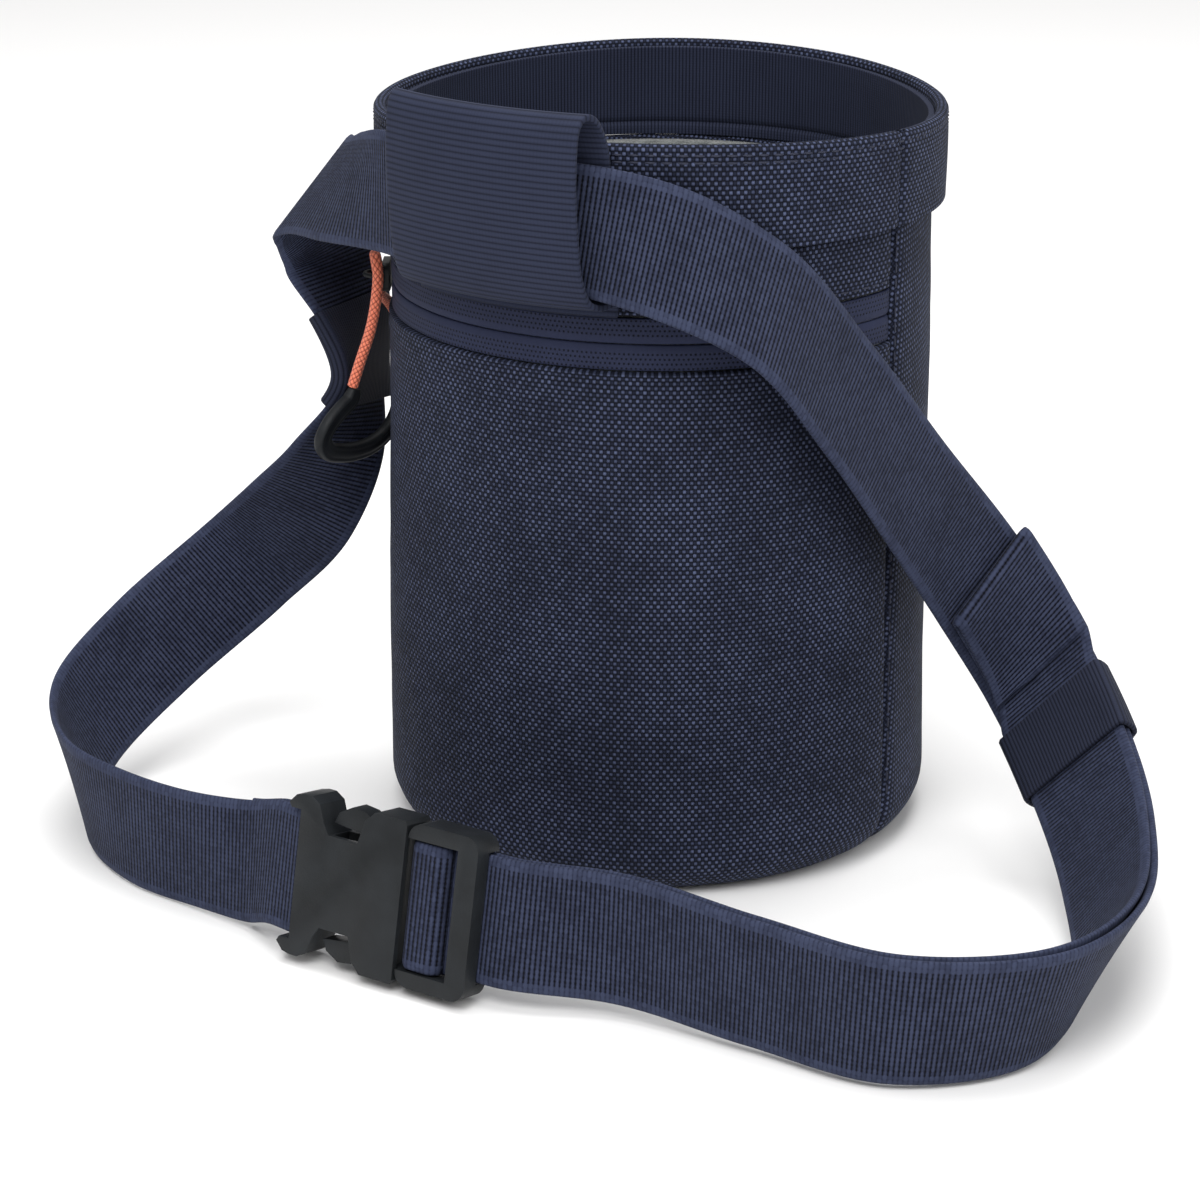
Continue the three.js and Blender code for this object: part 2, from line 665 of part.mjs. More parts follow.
// Adjusting tail: from the ladder bar's back along the inside of the belt, to a folded hem that has
// slipped a little past the belt's upper edge
const rightLength = runLengths(rightMain).at(-1);
const tailEnd = tailEndPlace * rightLength;
const slipEnd = tailEnd + hemLength;
const slipStart = slipEnd + webbingWidth / 4;
function slipped(from, to, offset) {
  const rows = runBetween(rightMain, from, to);
  const lengths = runLengths(rows);
  const moved = rows.map(({ centre, half }, i) => {
    const share = clamp((slipStart - from - lengths[i]) / (slipStart - slipEnd), 0, 1) * tailSlip;
    return { centre: centre.clone().addScaledVector(half, share), half };
  });
  return runGrid(moved, offset);
}
const tail = [
  buckleGrid(ladderX + ladderHalf + 0.2, ladderY + ladderTurn + 0.4, 1),
  buckleGrid(ladderX + ladderHalf + 3, tailY + layer - 0.2, 1),
  buckleGrid(rightEnd - 3, tailY + layer, 1),
  buckleGrid(rightEnd + 1, tailY + layer, 1),
  ...slipped(tailEnd, rightLength - webbingWidth / 3, layer).reverse(),
  slipped(tailEnd - layer, tailEnd + hemLength, 1.5 * layer)[0],
  ...slipped(tailEnd, tailEnd + hemLength, 2 * layer),
];
addPiece("belt_tail", sheet(tail, webbingThickness), navyWebbing);

// An elastic sleeve round a stretch of a run, between two distances along it. Inside it leaves room for
// a depth of webbing that reaches from one offset of the run to another.
function sleeve(run, from, to, low, high) {
  const rows = runBetween(run, from, to);
  const reach = webbingWidth / 2 + keeperSlack;
  const ringOf = (grow) => {
    const stretch = (reach + grow) / (webbingWidth / 2);
    const front = runGrid(rows, low - keeperSlack - grow, stretch);
    const back = runGrid(rows, high + keeperSlack + grow, stretch);
    return front.map((row, i) => [...row, ...back[i].slice().reverse()]);
  };
  const [outer, inner] = [ringOf(keeperWall), ringOf(0)];
  const size = outer[0].length;
  const points = rows.flatMap((row, i) => [...outer[i], ...inner[i]]);
  const at = (i, k, inside) => i * 2 * size + (k % size) + (inside ? size : 0);
  const triangles = [];
  const end = rows.length - 1;
  for (let k = 0; k < size; k++) {
    for (let i = 0; i < end; i++) {
      addQuad(triangles, at(i, k), at(i, k + 1), at(i + 1, k + 1), at(i + 1, k));
      addQuad(triangles, at(i, k, true), at(i + 1, k, true), at(i + 1, k + 1, true), at(i, k + 1, true));
    }
    addQuad(triangles, at(0, k), at(0, k, true), at(0, k + 1, true), at(0, k + 1));
    addQuad(triangles, at(end, k), at(end, k + 1), at(end, k + 1, true), at(end, k, true));
  }
  return closedBody(points, triangles);
}

const leftKeeperMiddle = leftKeeperPlace * leftLength;
const rightKeeperMiddle = rightKeeperPlace * rightLength;
const webbingHalfDepth = webbingThickness / 2;
addPiece(
  "left_keeper",
  sleeve(
    leftMain,
    leftKeeperMiddle - leftKeeperLength / 2,
    leftKeeperMiddle + leftKeeperLength / 2,
    -webbingHalfDepth,
    webbingHalfDepth,
  ),
  navyTape,
);
addPiece(
  "right_keeper",
  sleeve(
    rightMain,
    rightKeeperMiddle - rightKeeperLength / 2,
    rightKeeperMiddle + rightKeeperLength / 2,
    -webbingHalfDepth,
    layer + webbingHalfDepth,
  ),
  navyTape,
);

// Wide loop on the bag's front: its middle surface stands off the mouth band and flattens as it bulges
const loopFootRadius = clothRadius(loopFoot + sewnLap) + seamGap + loopWebbing / 2;
function loopPoint(across, stand, height) {
  const x = across + loopMiddle;
  const hug = lerp(loopHug, 1, across / loopWidth + 0.5);
  const opened = stand + (hug - 1) * Math.max(0, stand - loopSeat);
  const round = bandRadius - Math.sqrt(bandRadius * bandRadius - x * x);
  const flatness = clamp(opened / loopBulge, 0, 1) * 0.35;
  return new THREE.Vector3(x, round * (1 - flatness) - bandRadius - opened, height);
}
const loopColumns = evenSteps(-loopWidth / 2, loopWidth / 2, 8);
const footStand = loopFootRadius - bandRadius;
const loopRows = loopProfile.map(({ stand, rise }) => [stand * loopBulge, lerp(loopFoot, loopCrown, rise)]);
loopRows.push([footStand, loopFoot + sewnLap / 2], [footStand, loopFoot]);
addPiece(
  "belt_loop",
  sheet(
    loopRows.map(([stand, height]) => loopColumns.map((across) => loopPoint(across, stand, height))),
    loopWebbing,
  ),
  navyWebbing,
);

// Female half of the buckle: ears round the sewn bar, a waist between the prongs' windows, and a mouth
const mouthX = leftEnd + mouthPlace * buckleLength;
const outerHalf = buckleWidth / 2;
const webbingHalf = webbingWidth / 2 + bucklePlay + 0.1;
const earEnd = leftEnd + earLength;
const mouthStart = mouthX - 9.6;
function femaleOutline() {
  const half = [
    [leftEnd + 2.9, webbingHalf],
    [leftEnd + 0.6, webbingHalf],
    [leftEnd, webbingHalf + 1],
    [leftEnd + 1.6, outerHalf - 0.4],
    [leftEnd + 3.4, outerHalf],
    [earEnd - 3.4, outerHalf],
    [earEnd - 1.4, outerHalf - 1.2],
    [earEnd, waistHalf + 2],
    [earEnd + 1.2, waistHalf],
    [mouthStart - 1.4, waistHalf],
    [mouthStart, outerHalf - 2],
    [mouthStart + 2, outerHalf],
    [mouthX - 0.6, outerHalf],
    [mouthX, outerHalf - 0.8],
  ];
  const lower = half.map(([x, z]) => [x, -z]).reverse();
  return new THREE.Shape([...half, ...lower].map(([x, z]) => new THREE.Vector2(x, z)));
}
const cavityDepth = buckleThickness / 2 - 1.5;
const cavityHalf = outerHalf - 1.8;
const cavityStart = earEnd + 1.6;
const sewnBar = new THREE.CylinderGeometry(sewnBarRadius, sewnBarRadius, 2 * webbingHalf + 2, 12)
  .rotateX(Math.PI / 2)
  .translate(sewnBarX, sewnBarY, 0);
const femaleBody = cut(
  toManifold(plate(femaleOutline(), plateFace, -plateFace)),
  box(leftEnd - 1, sewnBarX + sewnTurn + 1.1, plateFace + 1.2, -plateFace + 1, -webbingHalf, webbingHalf),
  box(cavityStart, mouthX + 1, -cavityDepth, cavityDepth, -cavityHalf, cavityHalf),
);
addPiece("buckle_female", fromManifold(femaleBody.add(toManifold(sewnBar))), slatePlastic, buckle);

// Male half: a frame with the ladder bar, and two prongs that spring out beside the female's waist
const innerDepth = cavityDepth - bucklePlay;
const innerHalf = cavityHalf - bucklePlay;
const frameStart = mouthX + bucklePlay;
const frameLength = rightEnd - frameStart;
const frameDepth = buckleThickness / 2 - 0.4;
const frame = plate(
  roundedRectangle(frameLength, buckleWidth, 3),
  -frameDepth,
  frameDepth,
).translate(frameStart + frameLength / 2, 0, 0);
const windowEnd = rightEnd - outerBarWidth;
const frameWindow = box(mouthX - 1.2, windowEnd, -frameDepth - 1, frameDepth + 1, -webbingHalf, webbingHalf);
const behindOuterBar = box(
  windowEnd - 1,
  rightEnd + 1,
  tailY - webbingThickness / 2 - bucklePlay,
  frameDepth + 1,
  -webbingHalf,
  webbingHalf,
);
const insert = box(mouthX - 7.2, mouthX - 0.6, -innerDepth, innerDepth, -innerHalf, innerHalf);
const neck = (side) =>
  box(
    mouthX - 2,
    frameStart + 1.4,
    -innerDepth,
    innerDepth,
    Math.min(side * webbingHalf, side * innerHalf),
    Math.max(side * webbingHalf, side * innerHalf),
  );
function prong(side) {
  const outline = [
    [mouthX - 6.4, innerHalf - 3.4],
    [mouthX - 6.4, innerHalf],
    [mouthStart + 0.6, innerHalf],
    [mouthStart - 1.2, outerHalf - 1],
    [mouthStart - 4.4, outerHalf - 0.6],
    [earEnd + 2.2, outerHalf - 2.2],
    [earEnd + 1.2, outerHalf - 4.4],
    [mouthStart - 1.8, outerHalf - 5.2],
  ];
  const shape = new THREE.Shape(outline.map(([x, z]) => new THREE.Vector2(x, side * z)));
  return plate(shape, -innerDepth, innerDepth);
}
const ladderBar = plate(
  roundedRectangle(ladderBarWidth, ladderBarThickness, ladderBarThickness / 2 - 0.01),
  -webbingHalf - 1,
  webbingHalf + 1,
)
  .rotateX(Math.PI / 2)
  .translate(ladderX, ladderY, 0);
const maleBody = cut(joined(frame, insert, neck(1), neck(-1)), frameWindow, behindOuterBar)
  .add(toManifold(ladderBar))
  .add(toManifold(prong(1)))
  .add(toManifold(prong(-1)));
addPiece("buckle_male", fromManifold(maleBody), slatePlastic, buckle);

// Finger bow of the zip pull, along its bar from the visible end. Across and up are shares of the width
// and height of the bar's middle line.
const bowPath = [
  { across: -0.2, up: 0.5 },
  { across: -0.23, up: 0.355 },
  { across: -0.35, up: 0.235 },
  { across: -0.46, up: 0.085 },
  { across: -0.5, up: -0.09 },
  { across: -0.41, up: -0.28 },
  { across: -0.22, up: -0.41 },
  { across: 0.005, up: -0.49 },
  { across: 0.215, up: -0.5 },
  { across: 0.375, up: -0.415 },
  { across: 0.475, up: -0.225 },
  { across: 0.5, up: -0.03 },
  { across: 0.495, up: 0.1 },
];
const bowLine = new THREE.SplineCurve(
  bowPath.map(({ across, up }) => new THREE.Vector2(across * (bowWidth - bowBar), up * (bowHeight - bowBar))),
);
function bowSide(side) {
  return evenSteps(0, 1, 30).map((share) => {
    const along = bowLine.getTangent(share);
    const out = new THREE.Vector2(-along.y, along.x).multiplyScalar((side * bowBar) / 2);
    return bowLine.getPoint(share).add(out);
  });
}
const bow = plate(
  new THREE.Shape([...bowSide(1), ...bowSide(-1).reverse()]),
  -bowThickness / 2,
  bowThickness / 2,
)
  .rotateX(radians(bowTilt))
  .rotateZ(radians(90 + bowTurn))
  .translate(bowCentre[0], bowCentre[1], zipHeight + bowCentre[2]);
addPiece("pull_bow", bow, slatePlastic);

// Cords of the zip pull, from the slider's lug to the bow's two ends
const cordSection = new THREE.Shape(
  evenSteps(0, 315, 7).map(
    (angle) =>
      new THREE.Vector2((cordDiameter / 2) * Math.cos(radians(angle)), (cordDiameter / 2) * Math.sin(radians(angle))),
  ),
);
function cord(route) {
  const points = route.map(([x, y, height]) => new THREE.Vector3(x, y, zipHeight + height));
  const path = new THREE.CatmullRomCurve3(points, false, "centripetal");
  const steps = Math.round(path.getLength() / cordDiameter);
  return new THREE.ExtrudeGeometry(cordSection, { steps, extrudePath: path, bevelEnabled: false });
}
addPiece("pull_cord", cord(pullCordRoute), orangeCord);
addPiece("return_cord", cord(returnCordRoute), orangeCord);

export default group;
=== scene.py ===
"""A climbing chalk bag: a zipped cloth drum with a fleece lining, and a webbing belt in a wide front loop.

All lengths are in metres, in the frame of the CAD pieces: the bag stands on z = 0 round the z axis, and
its zipped front faces -Y. An angle "around" is measured from that front, towards +X.
"""

import json
import logging
import math
from dataclasses import dataclass
from enum import Enum
from typing import Callable, Sequence

import bmesh
import bpy
import numpy as np
from mathutils import Matrix, Vector, noise
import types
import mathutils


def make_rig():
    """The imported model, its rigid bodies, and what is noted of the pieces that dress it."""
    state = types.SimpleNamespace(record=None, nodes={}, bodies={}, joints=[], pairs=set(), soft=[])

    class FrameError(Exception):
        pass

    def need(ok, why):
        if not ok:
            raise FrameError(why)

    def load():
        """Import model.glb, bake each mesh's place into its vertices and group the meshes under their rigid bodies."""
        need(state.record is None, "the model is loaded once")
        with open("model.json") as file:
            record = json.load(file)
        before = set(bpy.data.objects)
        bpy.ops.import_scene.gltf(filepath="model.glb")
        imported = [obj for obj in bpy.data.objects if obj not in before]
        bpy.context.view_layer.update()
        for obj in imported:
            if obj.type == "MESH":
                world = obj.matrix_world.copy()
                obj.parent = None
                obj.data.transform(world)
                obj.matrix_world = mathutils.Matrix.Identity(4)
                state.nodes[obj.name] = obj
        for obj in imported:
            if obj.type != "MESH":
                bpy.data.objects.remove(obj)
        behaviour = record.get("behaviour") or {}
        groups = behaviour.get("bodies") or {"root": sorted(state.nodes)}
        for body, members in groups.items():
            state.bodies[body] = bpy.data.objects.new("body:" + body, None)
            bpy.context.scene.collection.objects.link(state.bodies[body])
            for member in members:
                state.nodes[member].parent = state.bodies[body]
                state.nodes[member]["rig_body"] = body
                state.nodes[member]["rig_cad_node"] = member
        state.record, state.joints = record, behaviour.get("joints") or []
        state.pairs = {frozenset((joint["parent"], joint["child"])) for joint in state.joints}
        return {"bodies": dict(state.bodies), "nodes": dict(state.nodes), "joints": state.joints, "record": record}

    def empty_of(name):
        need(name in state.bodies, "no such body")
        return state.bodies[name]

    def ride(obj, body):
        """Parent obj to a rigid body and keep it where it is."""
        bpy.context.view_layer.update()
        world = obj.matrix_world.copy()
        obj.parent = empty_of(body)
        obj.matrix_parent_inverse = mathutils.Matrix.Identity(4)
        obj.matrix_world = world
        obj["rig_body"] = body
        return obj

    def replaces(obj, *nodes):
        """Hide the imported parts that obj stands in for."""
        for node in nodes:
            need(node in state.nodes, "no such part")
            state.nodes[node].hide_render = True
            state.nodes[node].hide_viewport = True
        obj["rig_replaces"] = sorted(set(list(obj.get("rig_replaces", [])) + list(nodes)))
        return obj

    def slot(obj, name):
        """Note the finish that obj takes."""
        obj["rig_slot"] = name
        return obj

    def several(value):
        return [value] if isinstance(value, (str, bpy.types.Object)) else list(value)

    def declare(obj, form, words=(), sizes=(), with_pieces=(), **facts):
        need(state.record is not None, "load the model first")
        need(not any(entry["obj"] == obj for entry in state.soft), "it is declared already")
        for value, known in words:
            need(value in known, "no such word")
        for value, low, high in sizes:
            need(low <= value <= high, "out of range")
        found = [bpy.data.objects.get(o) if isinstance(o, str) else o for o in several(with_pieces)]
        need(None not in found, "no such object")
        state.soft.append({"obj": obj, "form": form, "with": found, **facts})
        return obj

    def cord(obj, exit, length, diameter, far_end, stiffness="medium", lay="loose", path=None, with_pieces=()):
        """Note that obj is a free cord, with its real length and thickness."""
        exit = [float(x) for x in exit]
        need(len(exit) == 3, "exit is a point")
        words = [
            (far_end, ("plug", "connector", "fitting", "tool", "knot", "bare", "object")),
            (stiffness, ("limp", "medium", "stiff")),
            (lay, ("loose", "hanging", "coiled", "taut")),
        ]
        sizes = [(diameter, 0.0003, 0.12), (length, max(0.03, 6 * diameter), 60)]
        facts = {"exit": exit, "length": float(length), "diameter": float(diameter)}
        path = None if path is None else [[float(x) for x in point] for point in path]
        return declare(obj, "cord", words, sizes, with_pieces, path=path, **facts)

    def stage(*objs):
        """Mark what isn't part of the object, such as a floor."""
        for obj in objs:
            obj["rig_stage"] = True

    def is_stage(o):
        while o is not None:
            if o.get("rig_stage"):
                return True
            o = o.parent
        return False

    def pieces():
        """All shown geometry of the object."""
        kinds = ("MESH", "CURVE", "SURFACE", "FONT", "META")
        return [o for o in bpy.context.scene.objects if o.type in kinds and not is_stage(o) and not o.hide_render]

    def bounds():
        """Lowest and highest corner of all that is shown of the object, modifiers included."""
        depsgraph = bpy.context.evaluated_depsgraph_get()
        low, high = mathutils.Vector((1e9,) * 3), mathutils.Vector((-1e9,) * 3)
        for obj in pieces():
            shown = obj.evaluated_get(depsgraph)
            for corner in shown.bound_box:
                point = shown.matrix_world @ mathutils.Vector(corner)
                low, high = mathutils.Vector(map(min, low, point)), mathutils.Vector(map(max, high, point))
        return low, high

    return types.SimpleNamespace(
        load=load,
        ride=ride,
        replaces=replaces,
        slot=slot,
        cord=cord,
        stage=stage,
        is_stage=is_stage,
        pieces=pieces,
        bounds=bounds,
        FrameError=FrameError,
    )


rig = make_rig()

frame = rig.load()

LOG = logging.getLogger("chalk_bag")
MM = 0.001
UV_NAME = "surface"
EDGE_ANGLE = math.radians(50.0)


class Slot(Enum):
    """Material slots of the record."""

    CLOTH = "cloth"
    TAPE = "tape"
    WEBBING = "webbing"
    FLEECE = "fleece"
    PLASTIC = "plastic"
    CORD = "cord"


class Weave(Enum):
    """Ways that threads cross in a cloth."""

    STRAIGHT = 0.0
    DIAGONAL = 45.0


# Small geometry helpers


def polar(around: float, radius: float, height: float) -> np.ndarray:
    """A point from its angle in degrees, its distance from the drum's axis and its height."""
    angle = math.radians(around)
    return np.array([radius * math.sin(angle), -radius * math.cos(angle), height])


def lerp(low: float, high: float, share: float) -> float:
    """The value at a share of the way from low to high."""
    return low + (high - low) * share


def smooth_bump(distance: float, width: float) -> float:
    """1 at no distance, falling smoothly to 0 over a few widths."""
    return math.exp(-((distance / width) ** 2))


def select_only(piece: bpy.types.Object) -> None:
    """Makes a piece the only selected object, and the active one."""
    bpy.ops.object.select_all(action="DESELECT")
    piece.select_set(True)
    bpy.context.view_layer.objects.active = piece


def apply_modifier(piece: bpy.types.Object, kind: str, **settings: object) -> None:
    """Adds a modifier and applies it to the piece's mesh.

    Args:
        piece: the object to change.
        kind: the modifier's type.
        settings: its settings by name.
    """
    modifier = piece.modifiers.new(kind.title(), kind)
    for name, value in settings.items():
        setattr(modifier, name, value)
    select_only(piece)
    bpy.ops.object.modifier_apply(modifier=modifier.name)


def shade(piece: bpy.types.Object, degrees: float = 40.0) -> None:
    """Smooth shading, with edges sharper than this angle left crisp."""
    select_only(piece)
    bpy.ops.object.shade_smooth_by_angle(angle=math.radians(degrees))


def turn_faces_out(piece: bpy.types.Object) -> None:
    """Makes all face normals point outward."""
    mesh = bmesh.new()
    mesh.from_mesh(piece.data)
    bmesh.ops.recalc_face_normals(mesh, faces=mesh.faces)
    mesh.to_mesh(piece.data)
    mesh.free()


def mesh_piece(name: str, points: np.ndarray, faces: Sequence[Sequence[int]]) -> bpy.types.Object:
    """A new mesh object at the origin.

    Args:
        name: the new object's name.
        points: its points.
        faces: each face's corners, as places in the list of points.

    Returns:
        The new object.
    """
    mesh = bpy.data.meshes.new(name)
    mesh.from_pydata([tuple(point) for point in points], [], [tuple(face) for face in faces])
    mesh.update()
    piece = bpy.data.objects.new(name, mesh)
    bpy.context.scene.collection.objects.link(piece)
    return piece


def grid_piece(
    name: str,
    grid: np.ndarray,
    lengths: np.ndarray,
    ring: bool = False,
    tube: bool = False,
    caps: bool = False,
) -> bpy.types.Object:
    """A mesh over a grid of points.

    Args:
        name: the new object's name.
        grid: points as rows, columns and coordinates.
        lengths: the cloth's own two coordinates in metres for each point, used as the UV map. It has one
            row more than the grid for a ring, and one column more for a tube.
        ring: the last row joins the first.
        tube: the last column joins the first.
        caps: the first and last rows of a tube are closed with a face.

    Returns:
        The new object.
    """
    rows, columns = grid.shape[:2]
    faces: list[list[int]] = []
    corners: list[tuple[int, int]] = []
    for i in range(rows if ring else rows - 1):
        for j in range(columns if tube else columns - 1):
            places = [(i, j), (i + 1, j), (i + 1, j + 1), (i, j + 1)]
            faces.append([(a % rows) * columns + b % columns for a, b in places])
            corners.extend(places)
    if caps:
        for i, order in ((0, range(columns)), (rows - 1, reversed(range(columns)))):
            places = [(i, j) for j in order]
            faces.append([a * columns + b for a, b in places])
            corners.extend(places)
    piece = mesh_piece(name, grid.reshape(-1, 3), faces)
    layer = piece.data.uv_layers.new(name=UV_NAME)
    layer.data.foreach_set("uv", np.array([lengths[a, b] for a, b in corners], dtype=np.float32).ravel())
    turn_faces_out(piece)
    return piece


def grid_normals(grid: np.ndarray, ring: bool = False) -> np.ndarray:
    """Unit normals of a grid of points, from each point's neighbours.

    Args:
        grid: points as rows, columns and coordinates.
        ring: the last row joins the first.

    Returns:
        The normals, in the grid's shape.
    """
    if ring:
        along = np.roll(grid, -1, axis=0) - np.roll(grid, 1, axis=0)
    else:
        along = np.gradient(grid, axis=0)
    across = np.gradient(grid, axis=1)
    normals = np.cross(along, across)
    return normals / np.linalg.norm(normals, axis=2, keepdims=True)


def running_length(points: np.ndarray) -> np.ndarray:
    """The distance along a line of points, for each of them."""
    steps = np.linalg.norm(np.diff(points, axis=0), axis=1)
    return np.concatenate([[0.0], np.cumsum(steps)])


def smooth_line(points: np.ndarray, count: int) -> np.ndarray:
    """Evenly spaced points on a centripetal Catmull-Rom line through the given ones.

    Args:
        points: the points that the line passes through.
        count: how many points are wanted.

    Returns:
        The evenly spaced points.
    """
    padded = np.vstack([2 * points[0] - points[1], points, 2 * points[-1] - points[-2]])
    dense: list[np.ndarray] = []
    for a, b, c, d in zip(padded, padded[1:], padded[2:], padded[3:]):
        knots = np.cumsum([0.0] + [math.sqrt(np.linalg.norm(q - p)) for p, q in ((a, b), (b, c), (c, d))])
        for t in np.linspace(knots[1], knots[2], 24, endpoint=False):
            ab = (a * (knots[1] - t) + b * t) / knots[1]
            bc = (b * (knots[2] - t) + c * (t - knots[1])) / (knots[2] - knots[1])
            cd = (c * (knots[3] - t) + d * (t - knots[2])) / (knots[3] - knots[2])
            abc = (ab * (knots[2] - t) + bc * t) / knots[2]
            bcd = (bc * (knots[3] - t) + cd * (t - knots[1])) / (knots[3] - knots[1])
            dense.append((abc * (knots[2] - t) + bcd * (t - knots[1])) / (knots[2] - knots[1]))
    dense.append(points[-1])
    line = np.array(dense)
    lengths = running_length(line)
    wanted = np.linspace(0.0, lengths[-1], count)
    return np.column_stack([np.interp(wanted, lengths, line[:, k]) for k in range(3)])


def swept(
    name: str,
    line: np.ndarray,
    section: np.ndarray,
    up: np.ndarray | None = None,
    taper: Callable[[float], float] = lambda share: 1.0,
) -> bpy.types.Object:
    """A closed section carried along a line.

    Args:
        name: the new object's name.
        line: the points of the line.
        section: the section's points, across the line and along up.
        up: the direction that the section's second coordinate keeps. Without it the section is carried
            along without twisting.
        taper: the section's size for a share of the way along.

    Returns:
        The new object, closed at both ends.
    """
    tangents = np.gradient(line, axis=0)
    tangents /= np.linalg.norm(tangents, axis=1, keepdims=True)
    lengths = running_length(line)
    rise = np.array([0.0, 0.0, 1.0]) if up is None else up
    if abs(float(tangents[0] @ rise)) > 0.9:
        rise = np.array([1.0, 0.0, 0.0])
    rings = []
    for point, tangent, length in zip(line, tangents, lengths):
        if up is None:
            rise = rise - tangent * float(rise @ tangent)
            rise /= np.linalg.norm(rise)
        side = np.cross(tangent, rise)
        side /= np.linalg.norm(side)
        size = taper(length / lengths[-1])
        rings.append([point + size * (a * side + b * rise) for a, b in section])
    girth = running_length(np.vstack([section, section[:1]]))
    cloth = np.array([[(length, g) for g in girth] for length in lengths])
    return grid_piece(name, np.array(rings), cloth, tube=True, caps=True)


def thicken(piece: bpy.types.Object, thickness: float, edge: float, offset: float = 0.0) -> None:
    """Gives a sheet its thickness and softened edges.

    Args:
        piece: the sheet.
        thickness: how thick it becomes.
        edge: width of the rounding of its edges.
        offset: 0 to grow both ways, and 1 to grow only outward.
    """
    apply_modifier(piece, "SOLIDIFY", thickness=thickness, offset=offset, use_even_offset=False)
    apply_modifier(piece, "BEVEL", width=edge, segments=2, limit_method="ANGLE", angle_limit=EDGE_ANGLE)
    turn_faces_out(piece)
    shade(piece, 60.0)


def finished(
    piece: bpy.types.Object,
    material: bpy.types.Material,
    slot: Slot,
    *nodes: str,
) -> bpy.types.Object:
    """Gives a piece its material, and tells the frame what it rides on and stands for.

    Args:
        piece: the finished object.
        material: what it is made of.
        slot: its material slot in the record.
        nodes: the CAD nodes that it stands for, if any.

    Returns:
        The same object.
    """
    piece.data.materials.clear()
    piece.data.materials.append(material)
    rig.ride(piece, "root")
    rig.slot(piece, slot.value)
    if nodes:
        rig.replaces(piece, *nodes)
    return piece


def softened_copy(node: str, name: str, edge: float, segments: int = 3) -> bpy.types.Object:
    """A copy of a CAD piece with its edges rounded.

    Args:
        node: the CAD node.
        name: the copy's name.
        edge: width of the rounding.
        segments: faces across the rounding.

    Returns:
        The copy, at the origin.
    """
    piece = bpy.data.objects.new(name, frame["nodes"][node].data.copy())
    bpy.context.scene.collection.objects.link(piece)
    select_only(piece)
    bpy.ops.object.mode_set(mode="EDIT")
    bpy.ops.mesh.select_all(action="SELECT")
    bpy.ops.mesh.remove_doubles(threshold=0.01 * MM)
    bpy.ops.mesh.dissolve_limited(angle_limit=math.radians(1.0))
    bpy.ops.mesh.normals_make_consistent(inside=False)
    bpy.ops.object.mode_set(mode="OBJECT")
    apply_modifier(
        piece,
        "BEVEL",
        width=edge,
        segments=segments,
        limit_method="ANGLE",
        angle_limit=math.radians(28.0),
        use_clamp_overlap=True,
    )
    shade(piece, 35.0)
    return piece


# Shader building


def linear(red: int, green: int, blue: int) -> tuple[float, float, float]:
    """A screen colour from 0 to 255 as linear light.

    Args:
        red: the red channel.
        green: the green channel.
        blue: the blue channel.

    Returns:
        The three channels as light, from 0 to 1.
    """

    def channel(value: int) -> float:
        """One channel as light."""
        share = value / 255.0
        return share / 12.92 if share <= 0.04045 else ((share + 0.055) / 1.055) ** 2.4

    return channel(red), channel(green), channel(blue)


